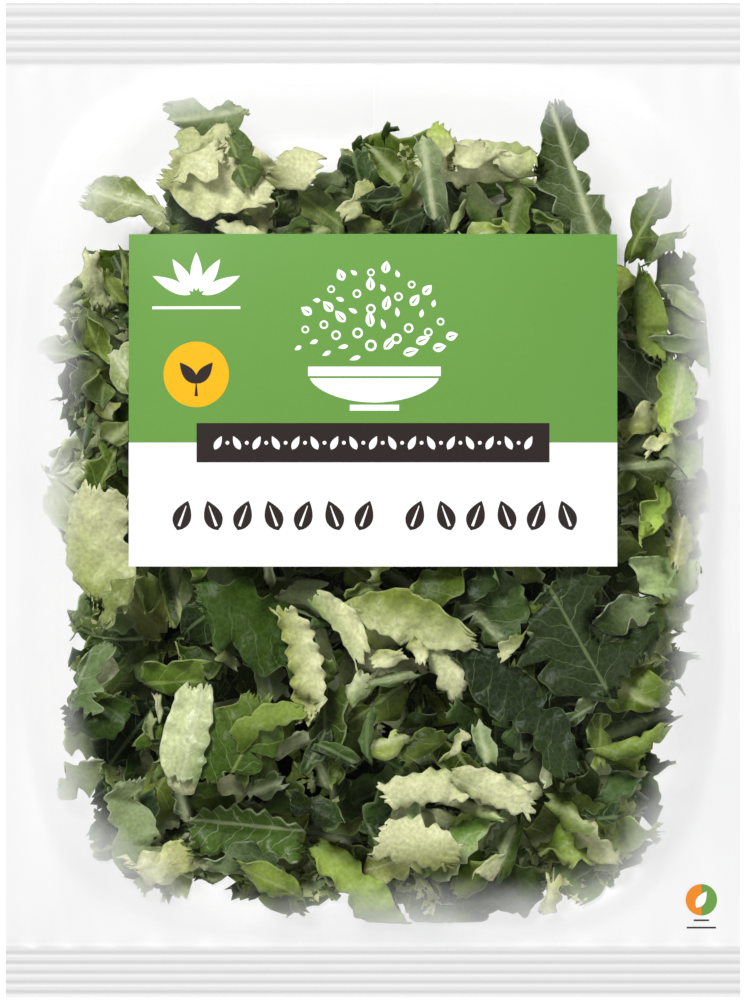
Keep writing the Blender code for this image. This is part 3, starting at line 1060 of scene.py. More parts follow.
@dataclass
class LeafCutter:
    """Cuts leaf pieces out of flat blade and bends them."""

    chance: np.random.Generator

    def between(self, low: float, high: float) -> float:
        """Draws a number between two others."""
        return float(self.chance.uniform(low, high))

    def drawn(self, fixed: float | None, low: float, high: float) -> float:
        """A piece's own value if it has one, or a drawn one."""
        return self.between(low, high) if fixed is None else fixed

    def jagged(self, steps: np.ndarray, long: float, pitch: float) -> np.ndarray:
        """Straight runs between drawn heights around 0, about a pitch apart."""
        knots = max(3, round(long / pitch) + 1)
        return np.interp(steps * (knots - 1), np.arange(knots), self.chance.normal(0, 1, knots))

    def side(self, steps: np.ndarray, piece: LeafPiece, style: LeafStyle) -> np.ndarray:
        """One side of the outline: the half width at each step along the piece, in millimetres."""
        long, half = piece.length / MM, piece.width / MM / 2
        shift = self.between(-0.05, 0.08)
        taper = self.drawn(piece.taper, 0.5 * style.taper, 1.9 * style.taper)
        body = np.sin(np.pi * np.clip(0.06 + shift + (0.88 - abs(shift)) * steps, 0.02, 0.98)) ** taper
        lobe = style.lobe * (0.3 if piece.plain else 1.0)
        lobes = 1 + lobe * self.jagged(steps, long, 9.0) + 0.6 * lobe * self.jagged(steps, long, 3.6)
        for _ in range(0 if piece.plain else self.chance.integers(0, 4)):
            torn = (steps - self.between(0.05, 0.95)) * long / self.between(0.8, 2.0)
            lobes *= 1 - style.torn * self.between(0.3, 1.0) * np.exp(-(torn**2))
        pitch = style.pitch * self.between(0.9, 1.1)
        teeth = np.abs(2 * ((steps * long / pitch + self.between(0, 1)) % 1) - 1) * 2 - 1
        size = self.drawn(piece.tooth, 0.7 * style.tooth, 1.1 * style.tooth) * min(1.0, half / 4)
        nibbles = 0.42 * min(1.0, half / 5) * self.jagged(steps, long, 1.7)
        return np.clip(half * body * np.clip(lobes, 0.25, 1.35) + size * teeth + nibbles, 0.3, None)

    def outline(self, piece: LeafPiece, style: LeafStyle) -> tuple[Grid, Grid, Grid, Grid]:
        """The flat piece: its shares along and across, and its places along and across in millimetres."""
        long, wide = piece.length / MM, piece.width / MM
        grain = 0.8 if piece.fine else 1.5
        columns = int(np.clip(long / grain, 9, 48))
        rows = int(np.clip(wide / grain, 5, 28))
        steps = np.linspace(0, 1, columns + 1)
        share, across = np.meshgrid(steps, np.linspace(-1, 1, rows + 1))
        low, high = self.side(steps, piece, style), self.side(steps, piece, style)
        bow = self.between(-0.14, 0.14) * long
        y = np.where(across < 0, low, high) * across + bow * 4 * (share - 0.5) ** 2
        ragged = self.chance.normal(0, 0.55, (rows + 1, 2))
        ends = (share < 0.5) * ragged[:, :1] + (share >= 0.5) * ragged[:, 1:]
        skew = self.between(-0.35, 0.35) * wide / 2
        out = np.abs(2 * share - 1)
        x = long * (share - 0.5) + ends * out**6 * 1.6 + skew * across * out
        return share, across, x, y

    def relief(self, share: Grid, across: Grid, x: Grid, y: Grid, piece: LeafPiece) -> Grid:
        """The piece's own height before it is rolled: cupped, arched, ruffled at its sides and blistered."""
        style = STYLES[piece.kind]
        long, wide = piece.length / MM, piece.width / MM
        cup = self.between(-style.cup, style.cup) * (2 * y / wide) ** 2 * wide / 2
        arch = self.between(-0.14, 0.14) * (2 * x / long) ** 2 * long / 2
        waves = long / self.between(6.5, 11.0)
        phase = self.between(0, math.tau) + (across > 0) * self.between(1.0, 4.0)
        height = self.between(*style.ruffle)
        ruffle = height * np.abs(across) ** 1.6 * np.sin(math.tau * waves * share + phase)
        a, b = self.between(0, math.tau), self.between(0, math.tau)
        blister = style.blister * np.sin(x / 1.5 + a + 0.8 * np.sin(y / 2.3)) * np.sin(y / 1.4 + b)
        return cup + arch + ruffle + blister

    def rolled(self, points: np.ndarray, piece: LeafPiece) -> np.ndarray:
        """Rolls one or two corners or sides of the piece up or down round a small radius."""
        style = STYLES[piece.kind]
        rolls = []
        if piece.curl is not None:
            rolls.append((piece.curl, 1.0))
        elif self.between(0, 1) < style.curl_share:
            rolls.append((self.between(45, 175), self.chance.choice([-1.0, 1.0])))
            if self.between(0, 1) < 0.5:
                rolls.append((self.between(30, 120), self.chance.choice([-1.0, 1.0])))
        for degrees, way in rolls:
            heading = self.between(0, math.tau)
            c, s = math.cos(heading), math.sin(heading)
            reach = abs(c) * piece.length / MM / 2 + abs(s) * piece.width / MM / 2
            start = reach * self.between(0.05, 0.55)
            radius = self.between(1.2, 4.0)
            most = math.radians(degrees)
            out = points[..., 0] * c + points[..., 1] * s - start
            past = np.clip(out, 0, None)
            angle = np.clip(past / radius, 0, most)
            rest = past - angle * radius
            along = radius * np.sin(angle) + rest * np.cos(angle) - past
            lift = way * (radius * (1 - np.cos(angle)) + rest * np.sin(angle))
            points = points + np.stack([along * c, along * s, lift], axis=-1)
        return points

    def twisted(self, points: np.ndarray, piece: LeafPiece) -> np.ndarray:
        """Turns the piece's two ends against each other about its length."""
        most = piece.twist if piece.twist is not None else math.radians(self.chance.normal(0, 38))
        angle = most * points[..., 0] / (piece.length / MM) * 2
        y, z = points[..., 1], points[..., 2]
        y, z = y * np.cos(angle) - z * np.sin(angle), y * np.sin(angle) + z * np.cos(angle)
        return np.stack([points[..., 0], y, z], axis=-1)

    def tilted(self, points: np.ndarray, piece: LeafPiece) -> np.ndarray:
        """Leans the piece a little, turns it and moves it to its place, in metres."""
        heading, lean = self.between(0, math.tau), math.radians(self.chance.normal(0, piece.tilt))
        c, s = math.cos(heading), math.sin(heading)
        slope = (points[..., 0] * c + points[..., 1] * s) * math.tan(lean)
        c, s = math.cos(math.radians(piece.turn)), math.sin(math.radians(piece.turn))
        x, y = points[..., 0], points[..., 1]
        flat = np.stack([x * c - y * s, x * s + y * c, points[..., 2] + slope], axis=-1) * MM
        return flat + np.array([piece.x, piece.y, 0.0])

    def tints(self, x: np.ndarray, y: np.ndarray, rib: np.ndarray, piece: LeafPiece) -> np.ndarray:
        """The blade's colour over the piece, running from its own green to the heart's paler one."""
        style = STYLES[piece.kind]
        blade = np.array(style.blades[self.chance.integers(len(style.blades))])
        under = piece.under if piece.under is not None else self.between(0, 1) < style.under_share
        blade = np.array(style.under) if under else blade
        blade = blade * self.between(0.48, 1.12)
        blade = blade * np.array([self.between(0.86, 1.12), 1.0, self.between(0.45, 0.85)])
        fade = piece.fade if piece.fade is not None else self.between(*style.fade)
        heading = self.between(0, math.tau)
        run = math.cos(heading) * x / (piece.length / MM) + math.sin(heading) * y / (piece.width / MM)
        share = np.clip(0.5 + run * 1.3 + (fade - 0.5), 0, 1) * min(1.0, fade * 1.6)
        colour = (blade + (np.array(style.heart) - blade) * share[..., None]) * (piece.shade or 1.0)
        white = np.array(STYLES[Kind.RIB].heart)
        return np.clip(colour + (white - colour) * rib[..., None] * 0.85, 0, 1)

    def cut(self, piece: LeafPiece) -> CutLeaf:
        """Cuts, bends, colours and turns one piece.

        Args:
            piece: The piece to make.

        Returns:
            Its points in plan with their own relief, and its surface values.
        """
        style = STYLES[piece.kind]
        share, across, x, y = self.outline(piece, style)
        ribbed = self.between(0, 1) < style.rib_share if piece.rib is None else piece.rib
        veined = ribbed or self.between(0, 1) < style.veined_share
        offset = self.between(-0.2, 0.2) * piece.width / MM if veined else self.between(8, 16)
        spread = style.rib_width * (1.25 - 0.5 * share)
        rib = np.exp(-(((y - offset) / spread) ** 2)) * ribbed
        height = self.relief(share, across, x, y, piece) + rib * style.rib_width * 0.35
        bent = self.rolled(np.stack([x, y, height], axis=-1), piece)
        points = self.tilted(self.twisted(bent, piece), piece)
        seed = np.full_like(x, self.between(0, 900))
        rim = np.zeros_like(x)
        rim[[0, -1], :] = 1
        rim[:, [0, -1]] = 1
        place = np.stack([x + seed, y - offset, seed], axis=-1)
        return CutLeaf(points, place, self.tints(x, y, rib, piece), rim)


def refined(grid: np.ndarray) -> np.ndarray:
    """Puts a new row and column halfway between those of a grid."""
    tall = np.empty((2 * grid.shape[0] - 1, *grid.shape[1:]))
    tall[::2], tall[1::2] = grid, (grid[1:] + grid[:-1]) / 2
    wide = np.empty((tall.shape[0], 2 * grid.shape[1] - 1, *grid.shape[2:]))
    wide[:, ::2], wide[:, 1::2] = tall, (tall[:, 1:] + tall[:, :-1]) / 2
    return wide


def neighbours(grid: np.ndarray) -> np.ndarray:
    """The mean of the four neighbours of each place in a grid."""
    padded = np.pad(grid, 1, mode="edge")
    return (padded[:-2, 1:-1] + padded[2:, 1:-1] + padded[1:-1, :-2] + padded[1:-1, 2:]) / 4


@dataclass
class Room:
    """The space still free between the two films, as height maps of its ceiling and its floor."""

    form: BagForm
    cell: float = 1.5 * MM
    inset: float = 0.9 * MM
    spacing: float = 0.8 * MM
    border: float = 0.94
    most: float = 0.975

    def __post_init__(self) -> None:
        """Starts with the whole space between the films."""
        columns = round(2 * self.form.half_width / self.cell) + 1
        rows = round(2 * self.form.half_length / self.cell) + 1
        x, y = np.meshgrid(
            np.linspace(-self.form.half_width, self.form.half_width, columns),
            np.linspace(-self.form.half_length, self.form.half_length, rows),
        )
        self.ceiling = self.form.front(x, y) - self.form.layer - self.inset
        self.floor = self.form.back(x, y) + self.form.recess(x, y) + self.form.layer + self.inset
        self.middle = 0.45 * self.ceiling + 0.55 * self.floor

    def kept_inside(self, points: np.ndarray) -> np.ndarray:
        """Presses the parts of a piece that would stand outside the bag back from its border."""
        reach = self.form.reach(points[..., 0], points[..., 1])
        inside = self.border + (reach - self.border) * 0.12
        share = np.where(reach > self.border, np.minimum(inside, self.most) / np.maximum(reach, 1e-6), 1.0)
        return np.stack([points[..., 0] * share, points[..., 1] * share, points[..., 2]], axis=-1)

    def cells(self, points: np.ndarray) -> tuple[np.ndarray, np.ndarray]:
        """The row and column of the map cell under each point."""
        rows, columns = self.ceiling.shape
        j = np.rint((points[..., 1] + self.form.half_length) / self.cell).astype(int)
        i = np.rint((points[..., 0] + self.form.half_width) / self.cell).astype(int)
        return np.clip(j, 0, rows - 1), np.clip(i, 0, columns - 1)

    def free_height(self, x: float, y: float, front: bool) -> float:
        """How much room is left between the middle and the film's side of one place."""
        j, i = self.cells(np.array([x, y]))
        if front:
            return float(self.ceiling[j, i] - self.middle[j, i])
        return float(self.middle[j, i] - self.floor[j, i])

    def settle(self, points: np.ndarray, piece: LeafPiece, front: bool) -> np.ndarray:
        """Lays a piece against what is already there, pressing down whatever stands into it.

        Args:
            points: The piece's points, with their own relief as height.
            piece: The piece.
            front: Whether it is laid up against the front or down on the back.

        Returns:
            The points at their final heights.
        """
        way = 1.0 if front else -1.0
        points = self.kept_inside(points)
        near, far = (self.ceiling, self.floor) if front else (self.floor, self.ceiling)
        cells = self.cells(points)
        gap = max(float(np.median((near[cells] - far[cells]) * way)), 1 * MM)
        relief = points[..., 2] * way
        relief = relief * min(1.0, 0.7 * gap / max(float(np.ptp(relief)), 1e-6))
        room = near[cells] * way - relief
        base = min(float(np.percentile(room, piece.press)), piece.limit if front else 1.0)
        push = np.clip(base - room, 0, None)
        for _ in range(3):
            push = np.maximum(push, 0.7 * neighbours(push))
        height = (base + relief - push) * way
        height = np.maximum(height, far[cells]) if front else np.minimum(height, far[cells])
        settled = np.concatenate([points[..., :2], height[..., None]], axis=-1)
        self.take(settled, near, way)
        return settled

    def take(self, settled: np.ndarray, near: np.ndarray, way: float) -> None:
        """Marks the room that a piece takes in the map it lies against."""
        dense = refined(settled)
        rows, columns = self.cells(dense)
        heights = dense[..., 2] - way * self.spacing
        lay = np.minimum.at if way > 0 else np.maximum.at
        for dj in (-1, 0, 1):
            for di in (-1, 0, 1):
                j = np.clip(rows + dj, 0, near.shape[0] - 1)
                i = np.clip(columns + di, 0, near.shape[1] - 1)
                lay(near, (j, i), heights)


@dataclass(frozen=True)
class Fill:
    """One fill of loose pieces.

    front says which film they are laid against. lengths are the least, usual and most length in millimetres,
    slim the least and most width as a share of it, and press and tilt are as in LeafPiece.
    """

    name: str
    count: int
    front: bool
    lengths: tuple[float, float, float]
    slim: tuple[float, float]
    press: float
    tilt: float


# How often each kind is drawn, in the order of Kind, and how that changes where the heap is light
KIND_SHARES = (0.48, 0.34, 0.03, 0.09, 0.02, 0.04)
LIGHT_SHARES = (-0.26, 0.0, 0.16, 0.02, 0.05, 0.03)

FILLS = (
    Fill("top", 290, True, (6, 12, 26), (0.3, 0.8), 14.0, 24.0),
    Fill("front", 800, True, (9, 15, 30), (0.3, 0.75), 8.0, 26.0),
    Fill("back", 420, False, (15, 24, 38), (0.5, 0.8), 12.0, 12.0),
)


@dataclass
class LeafHeap:
    """All leaf pieces: the fine ones that stand for the model's solids, and the loose ones round them."""

    form: BagForm
    seed: int = 11
    tries: int = 7
    middle: float = -9 * MM
    half_width: float = 83 * MM
    half_length: float = 101 * MM
    corner: float = 3.2
    deep: float = 9 * MM
    per_object: int = 90
    core_inset: float = 8 * MM
    # Near black: the colour of dark packed leaves with the shade deep in the heap painted into it.
    core_painted_shade_tint: Colour = (0.012, 0.020, 0.006)
    materials: dict[Kind, bpy.types.Material] = field(default_factory=dict)

    def __post_init__(self) -> None:
        """Sets up the seeded draws, the free room and the leaf finishes."""
        self.chance = np.random.default_rng(self.seed)
        self.cutter = LeafCutter(self.chance)
        self.room = Room(self.form)
        self.materials = {kind: style.finish.material() for kind, style in STYLES.items()}

    def mesh_object(self, name: str, leaves: Sequence[CutLeaf], kind: Kind) -> bpy.types.Object:
        """Makes one object of several cut leaves of a kind.

        Args:
            name: The object's name.
            leaves: The cut leaves, with their points in place.
            kind: Their kind.

        Returns:
            The object.
        """
        bm = bmesh.new()
        layer = bm.loops.layers.uv.new(CELL_MAP)
        side = math.ceil(math.sqrt(len(leaves)))
        for number, leaf in enumerate(leaves):
            rows, columns = leaf.rim.shape
            flat = bmesh.ops.create_grid(bm, x_segments=columns - 1, y_segments=rows - 1, size=0.47)
            corner = Vector((number % side + 0.5, number // side + 0.5))
            for face in {face for vert in flat["verts"] for face in vert.link_faces}:
                for loop in face.loops:
                    loop[layer].uv = (loop.vert.co.xy + corner) / side
            for vert, point in zip(flat["verts"], leaf.points.reshape(-1, 3)):
                vert.co = point
        made = new_object(name, bm, [self.materials[kind]])
        for label, form, key in (("place", "FLOAT_VECTOR", "vector"), ("rim", "FLOAT", "value")):
            values = np.concatenate([getattr(leaf, label).reshape(leaf.rim.size, -1) for leaf in leaves])
            made.data.attributes.new(label, form, "POINT").data.foreach_set(key, values.ravel())
        tints = np.concatenate([leaf.tint.reshape(-1, 3) for leaf in leaves])
        tints = np.concatenate([tints, np.ones((len(tints), 1))], axis=1)
        made.data.attributes.new("tint", "FLOAT_COLOR", "POINT").data.foreach_set("color", tints.ravel())
        thicken(made, STYLES[kind].thickness * MM)
        return made

    def settled(self, piece: LeafPiece, front: bool) -> CutLeaf:
        """Cuts a piece and lays it in the free room."""
        leaf = self.cutter.cut(piece)
        leaf.points = self.room.settle(leaf.points, piece, front)
        return leaf

    def solid_piece(self, node: str) -> LeafPiece:
        """Reads a solid leaf's kind, middle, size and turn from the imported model."""
        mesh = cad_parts[node].data
        points = np.array([v.co for v in mesh.vertices])
        low, high = points.min(0), points.max(0)
        middle = (low + high) / 2
        flat = points[:, :2] - points[:, :2].mean(0)
        axes = np.linalg.eigh(flat.T @ flat)[1]
        along = axes[:, 1]
        run, rise = flat @ along, flat @ axes[:, 0]
        kind = next(k for k in Kind if node.startswith(k.value))
        turn = math.degrees(math.atan2(along[1], along[0]))
        deep = float(self.form.front(*middle[:2]) - middle[2]) > self.deep
        limit = float(middle[2]) if deep else 1.0
        long, wide = float(np.ptp(run)), float(np.ptp(rise))
        return LeafPiece(kind, *middle[:2], long, wide, turn, limit=limit, fine=not deep)

    def solid_pieces(self) -> dict[str, LeafPiece]:
        """Reads every solid leaf, those whose look is known first, which all lie against the front."""
        nodes = [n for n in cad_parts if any(n.startswith(k.value) for k in Kind)]
        pieces = {node: self.solid_piece(node) for node in [*LOOKS, *sorted(set(nodes) - set(LOOKS))]}
        for node, look in LOOKS.items():
            for name, value in {"limit": 1.0, "fine": True, "tilt": 5.0, **look}.items():
                setattr(pieces[node], name, value)
        return pieces

    def lay_solid(self, node: str, piece: LeafPiece) -> None:
        """Lays one fine leaf and reports it."""
        leaf = self.settled(piece, True)
        report(self.mesh_object(node + "_blade", [leaf], piece.kind), [node])

    def kind_at(self, x: float, y: float) -> Kind:
        """Draws a kind for a place: paler at the top and in a few light patches."""
        light = sum(math.exp(-(((x - a) ** 2 + (y - b) ** 2) / r**2)) for a, b, r in LIGHT_PATCHES)
        out = max(abs(x) / self.half_width, abs(y - self.middle) / self.half_length)
        light = min(light + 0.85 * max(out - 0.8, 0.0) / 0.2, 1.0)
        shares = np.array(KIND_SHARES) + light * np.array(LIGHT_SHARES)
        return list(Kind)[self.chance.choice(6, p=shares / shares.sum())]

    def inside(self, x: float, y: float) -> bool:
        """Whether a loose piece may lie at a place: the heap's outline is a wavy, rounded box."""
        across, along = x / self.half_width, (y - self.middle) / self.half_length
        angle = math.atan2(along, across)
        wave = 1 + 0.045 * math.sin(5 * angle + 0.6) + 0.04 * math.sin(13 * angle)
        return abs(across) ** self.corner + abs(along) ** self.corner < wave**self.corner

    def loose_piece(self, fill: Fill) -> LeafPiece:
        """Draws a loose piece where there is the most room left."""
        best, most = (0.0, self.middle), -1.0
        for _ in range(self.tries):
            x, y = self.chance.uniform(-1.1, 1.1, 2) * (self.half_width, self.half_length)
            y += self.middle
            free = self.room.free_height(x, y, fill.front)
            if self.inside(x, y) and free > most:
                best, most = (float(x), float(y)), free
        kind = self.kind_at(*best)
        long = float(self.chance.triangular(*fill.lengths)) * MM
        slim = float(self.chance.uniform(*fill.slim)) * (0.6 if kind is Kind.STRIP else 1.0)
        turn = float(self.chance.uniform(0, 360))
        return LeafPiece(kind, *best, long, long * slim, turn, press=fill.press, tilt=fill.tilt)

    def loose_leaves(self, fill: Fill) -> None:
        """Lays one fill of loose pieces, then joins them by kind into a few objects."""
        cut: dict[Kind, list[CutLeaf]] = {kind: [] for kind in Kind}
        for _ in range(fill.count):
            piece = self.loose_piece(fill)
            cut[piece.kind].append(self.settled(piece, fill.front))
        for kind, leaves in cut.items():
            for start in range(0, len(leaves), self.per_object):
                name = f"{kind.value}_{fill.name}_fill_{start // self.per_object + 1:02d}"
                made = self.mesh_object(name, leaves[start : start + self.per_object], kind)
                report(made)

    def core(self) -> None:
        """Fills the heap's middle with two dark crumpled skins, one to each film, joined at their rims."""
        u, v = np.meshgrid(np.linspace(-1, 1, 57), np.linspace(-1, 1, 69))
        square = np.maximum(np.abs(u), np.abs(v))
        rounding = square / np.maximum((u**4 + v**4) ** 0.25, 1e-6)
        x = u * rounding * (self.half_width - self.core_inset)
        y = v * rounding * (self.half_length - self.core_inset) + self.middle
        cells = self.room.cells(np.stack([x, y], axis=-1))
        ceiling, floor = self.room.ceiling[cells], self.room.floor[cells]
        middle = neighbours(neighbours((ceiling + floor) / 2))
        depth = np.clip((ceiling - floor) / 2 - 1.2 * MM, 0.4 * MM, None) * np.sqrt(1 - square**6)
        place = np.stack([x / MM, y / MM + 400, np.zeros_like(x)], axis=-1)
        # Painted shade: the core's near-black colour stands for the shade that fills the gaps between the
        # pieces.
        tint = np.broadcast_to(np.array(self.core_painted_shade_tint), (*x.shape, 3))
        skins = []
        for way in (1, -1):
            points = np.stack([x, y, middle + way * depth], axis=-1)
            skins.append(CutLeaf(points, place, tint, np.zeros_like(x)))
        report(self.mesh_object("dark_leaf_core", skins, Kind.DARK))

    def seen_leaves(self) -> None:
        """Lays the smaller pieces that show at the front, among the solid ones, and joins them by kind."""
        cut: dict[Kind, list[CutLeaf]] = {}
        for kind, x, y, long, wide, turn, look in SEEN_CUTS:
            piece = LeafPiece(kind, x * MM, y * MM, long * MM, wide * MM, turn, fine=True, **look)
            cut.setdefault(kind, []).append(self.settled(piece, True))
        for kind, leaves in cut.items():
            report(self.mesh_object(f"{kind.value}_seen_cuts", leaves, kind))

    def build(self) -> None:
        """Lays every piece, from the front film inwards and then from the back film up."""
        self.seen_leaves()
        pieces = self.solid_pieces()
        for node in LOOKS:
            self.lay_solid(node, pieces.pop(node))
        top, front, back = FILLS
        self.loose_leaves(top)
        for node in [n for n, piece in pieces.items() if piece.limit == 1.0]:
            self.lay_solid(node, pieces.pop(node))
        self.loose_leaves(front)
        for node, piece in pieces.items():
            self.lay_solid(node, piece)
        self.loose_leaves(back)
        self.core()


# Where light pieces lie thickest, in metres: the middle across and along, and the reach
LIGHT_PATCHES = (
    (-45 * MM, 95 * MM, 16 * MM),
    (30 * MM, 96 * MM, 16 * MM),
    (-5 * MM, -38 * MM, 16 * MM),
    (24 * MM, -84 * MM, 18 * MM),
    (-55 * MM, -70 * MM, 14 * MM),
    (66 * MM, -98 * MM, 14 * MM),
    (-76 * MM, -20 * MM, 14 * MM),
    (84 * MM, 50 * MM, 18 * MM),
    (84 * MM, 14 * MM, 16 * MM),
    (82 * MM, -22 * MM, 16 * MM),
    (-40 * MM, -104 * MM, 14 * MM),
)

# Smaller pieces seen at the front: kind, middle, length and width in millimetres, turn in degrees, looks
SEEN_CUTS: tuple[tuple[Kind, float, float, float, float, float, dict[str, Any]], ...] = (
    (Kind.MID, -37, 97, 16, 9, -70, {"fade": 0.1, "curl": 0.0}),
    (Kind.DARK, 2, 86, 12, 7, 0, {"fade": 0.1}),
    (Kind.PALE, -4, 86, 14, 7, 55, {"fade": 0.5, "curl": 90.0}),
    (Kind.GREY, 16, 91, 24, 9, -82, {"fade": 0.5, "curl": 0.0}),
    (Kind.PALE, 20, 100, 12, 8, 70, {"fade": 0.7, "curl": 60.0}),
    (Kind.PALE, 27, 97, 13, 9, 20, {"fade": 1.0}),
    (Kind.PALE, 38, 96, 15, 10, -30, {"fade": 0.95, "curl": 100.0}),
    (Kind.PALE, -50, 96, 16, 12, 30, {"fade": 1.0, "curl": 60.0}),
    (Kind.GREY, 89, 44, 17, 5, 5, {"fade": 0.5, "curl": 0.0, "taper": 1.2}),
    (Kind.GREY, 83, 73, 15, 5, 42, {"fade": 0.8, "curl": 0.0, "taper": 1.2}),
    (Kind.MID, 79, 53, 25, 10, 98, {"fade": 0.7, "curl": 120.0, "plain": True}),
    (Kind.GREY, 89, 57, 18, 6, -40, {"fade": 0.9, "curl": 60.0, "plain": True}),
    (Kind.GREY, 92, 47, 24, 11, -42, {"fade": 0.8, "curl": 0.0}),
    (Kind.GREY, -90, 43, 16, 7, -8, {"fade": 0.5, "curl": 0.0, "taper": 1.0}),
    (Kind.PALE, 81, 16, 9, 7, 20, {"fade": 0.8}),
    (Kind.DARK, 79, 9, 20, 8, 5, {"fade": 0.0}),
    # The shades above 1 on these pieces at the heap's right side are painted light: they brighten the side
    # that the lamps leave darker.
    (Kind.MID, 86, 30, 22, 12, 80, {"fade": 0.7, "shade": 1.8}),
    (Kind.PALE, 76, 22, 14, 8, 30, {"fade": 0.4}),
    (Kind.GREY, 87, 12, 20, 12, 100, {"fade": 0.7, "shade": 1.5}),
    (Kind.MID, 80, -4, 20, 11, 60, {"fade": 0.6, "shade": 2.0}),
    (Kind.PALE, 88, -12, 14, 8, 80, {"fade": 0.3}),
    (Kind.GREY, 79, -20, 18, 11, 120, {"fade": 0.6, "shade": 1.6}),
    (Kind.MID, 88, -24, 16, 9, 70, {"fade": 0.7, "shade": 1.8}),
    (Kind.GREY, -81, -50, 20, 14, 70, {"fade": 0.2, "curl": 60.0}),
    (Kind.DARK, -78, -63, 18, 12, 20, {"fade": 0.2}),
    (Kind.PALE, -73, -27, 17, 8, 55, {"fade": 0.1, "taper": 1.1}),
    (Kind.STRIP, -8, -34, 23, 8, -48, {"fade": 1.0, "curl": 0.0, "twist": 0.3, "tooth": 0.15, "plain": True}),
    (Kind.PALE, 4, -45, 10, 6, 20, {"fade": 0.9}),
    (Kind.PALE, 12, -43, 8, 6, -60, {"fade": 0.8}),
    (Kind.MID, -30, -62, 22, 8, 25, {"fade": 0.8, "curl": 90.0}),
    (Kind.PALE, 39, -41, 9, 6, 60, {"fade": 0.5}),
    (Kind.GREY, 72, -32, 16, 11, 10, {"fade": 0.5, "curl": 60.0}),
    (Kind.PALE, 24, -69, 12, 5, 55, {"fade": 0.8}),
    (Kind.STRIP, 34, -82, 24, 9, -22, {"fade": 1.0, "curl": 0.0}),
    (Kind.STRIP, 13, -97, 23, 12, -14, {"fade": 0.9, "curl": 0.0, "tooth": 0.9, "twist": 0.2}),
    (Kind.MID, 74, -70, 22, 5, 20, {"fade": 0.7, "curl": 0.0}),
    (Kind.GREY, -84, -80, 15, 12, 30, {"fade": 0.6}),
    (Kind.PALE, -61, -104, 18, 11, 10, {"fade": 0.9}),
    (Kind.MID, -28, -109, 20, 11, -25, {"fade": 0.8}),
    (Kind.GREY, -37, -103, 20, 9, 0, {"fade": 0.3}),
    (Kind.PALE, 33, -104, 9, 7, 40, {"fade": 1.0, "curl": 100.0}),
    (Kind.PALE, 50, -113, 11, 6, 80, {"fade": 1.0}),
    (Kind.MID, -3, -112, 37, 10, -46, {"fade": 0.9, "curl": 0.0, "shade": 1.3, "taper": 0.7, "twist": 0.2}),
)

# What is known of the look of some solid pieces, the topmost first
LOOKS: dict[str, dict[str, Any]] = {
    "pale_leaf_03": {"under": False, "fade": 0.45, "curl": 50.0, "taper": 1.2, "twist": 0.2, "plain": True},
    "pale_leaf_02": {"fade": 0.7, "curl": 0.0, "shade": 0.95, "twist": 0.1, "plain": True, "under": False},
    "crinkle_strip_03": {"fade": 0.65, "curl": 0.0, "twist": 0.1, "tooth": 0.7},
    "crinkle_strip_04": {"fade": 0.9, "curl": 0.0, "tooth": 0.8, "twist": 0.4, "width": 9.5 * MM},
    "crinkle_strip_05": {"fade": 0.0, "curl": 0.0, "shade": 0.4, "twist": 0.1, "under": False},
    "crinkle_strip_01": {"fade": 0.9, "tooth": 0.1},
    "crinkle_strip_02": {"fade": 0.9, "tooth": 0.2, "twist": 0.5, "width": 12 * MM},
    "pale_leaf_01": {"fade": 1.0, "curl": 0.0, "twist": 0.1},
    "grey_leaf_02": {"fade": 0.25, "curl": 0.0, "rib": True, "taper": 0.9, "twist": 0.1, "width": 15 * MM},
    "rib_slice_02": {"fade": 1.0, "curl": 0.0, "twist": 0.2, "shade": 1.25, "plain": True},
    "mid_leaf_06": {"fade": 0.2, "twist": 0.2, "shade": 1.3, "under": False},
    "dark_leaf_02": {"fade": 0.0, "curl": 0.0, "under": False, "twist": 0.1, "rib": False},
    "dark_leaf_03": {"fade": 0.1, "curl": 40.0, "under": False, "rib": False, "twist": 0.2},
    "dark_leaf_01": {"fade": 0.1, "curl": 60.0, "under": False, "rib": False},
    "grey_leaf_01": {"fade": 0.5, "curl": 70.0},
    "grey_leaf_03": {"fade": 0.5, "curl": 0.0, "twist": 0.2, "plain": True},
    "grey_leaf_05": {"fade": 0.8, "curl": 60.0},
}


# Studio


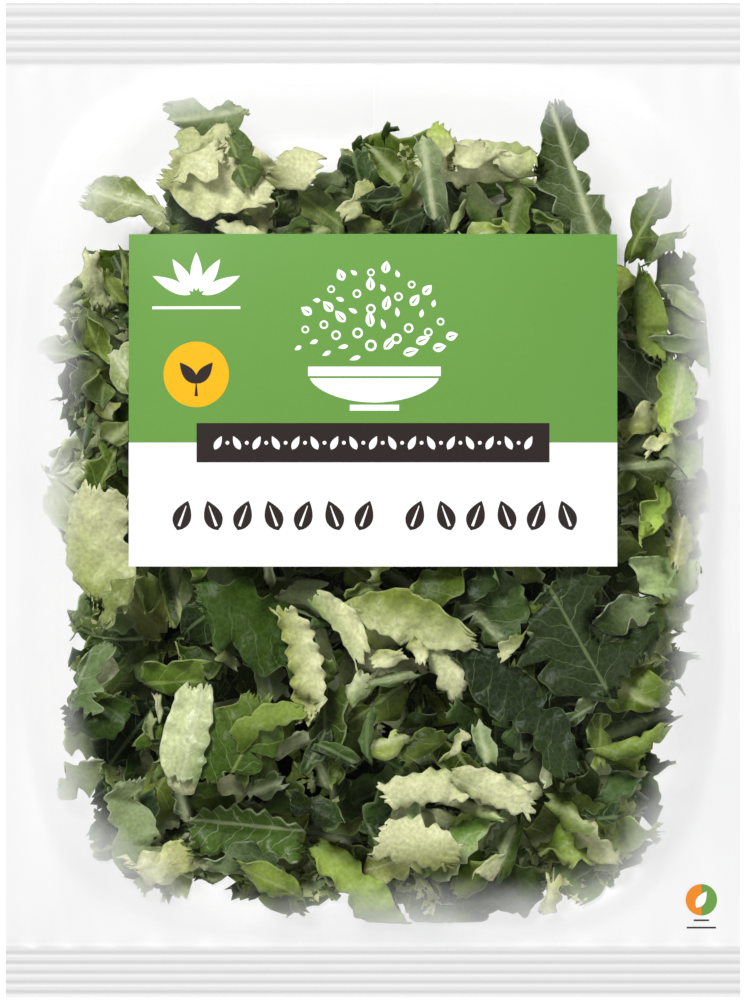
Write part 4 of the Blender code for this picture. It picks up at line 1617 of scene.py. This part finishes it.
@dataclass
class Studio:
    """The floor, the lights and the camera, which looks straight down on the bag."""

    form: BagForm
    distance: float = 4.0
    margin: float = 1.006
    sensor: float = 36.0
    ambient: float = 0.17
    floor_half: float = 8.0

    def floor(self) -> None:
        """Lays a wide pale floor under the bag."""
        bm = bmesh.new()
        bmesh.ops.create_grid(bm, x_segments=1, y_segments=1, size=self.floor_half)
        made = new_object("floor", bm, [FloorFinish().material()])
        made.location.z = -0.2 * MM

    def light(self, name: str, place: Place, size: float, power: float) -> None:
        """Hangs one square soft light that faces the bag.

        Args:
            name: The light's name.
            place: Where it hangs.
            size: Its side in metres.
            power: Its power in watts.
        """
        lamp = bpy.data.lights.new(name, "AREA")
        lamp.size = size
        lamp.energy = power
        hung = bpy.data.objects.new(name, lamp)
        hung.location = place
        hung.rotation_euler = (-Vector(place)).to_track_quat("-Z", "Y").to_euler()
        hung.visible_camera = False
        bpy.context.scene.collection.objects.link(hung)

    def camera(self) -> None:
        """Sets a long lens straight above the bag, with its top seal at the picture's top."""
        eye = bpy.data.cameras.new("camera")
        eye.sensor_width = self.sensor
        eye.lens = self.sensor * self.distance / (2 * self.form.half_length * self.margin)
        eye.clip_end = 50.0
        held = bpy.data.objects.new("camera", eye)
        held.location = (0.0, 0.0, self.form.seam + self.distance)
        bpy.context.scene.collection.objects.link(held)
        bpy.context.scene.camera = held

    def build(self) -> None:
        """Sets up the whole studio."""
        world = bpy.data.worlds.new("studio")
        world.use_nodes = True
        world.node_tree.nodes["Background"].inputs["Color"].default_value = (1.0, 1.0, 1.0, 1.0)
        world.node_tree.nodes["Background"].inputs["Strength"].default_value = self.ambient
        bpy.context.scene.world = world
        bpy.context.scene.view_settings.view_transform = "Standard"
        self.floor()
        self.light("key_light", (-1.0, 1.5, 2.4), 0.8, 87.0)
        self.light("fill_light", (0.9, -0.3, 1.1), 0.9, 6.5)
        self.camera()


def main() -> None:
    """Builds the film, the label, the leaves and the studio, in that order."""
    logging.basicConfig(level=logging.INFO, format="%(name)s: %(message)s")
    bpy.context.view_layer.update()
    _, film_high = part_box("film_bag")
    form = BagForm(film_high.x, film_high.y, film_high.z)
    finish = FilmFinish(form.half_width, form.half_length, form.seam, form.filled_top, form.filled_bottom)
    FilmBag(form, finish).build()
    FrontLabel(form, *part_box("front_label")).build()
    LeafHeap(form).build()
    Studio(form).build()


if __name__ == "__main__":
    main()
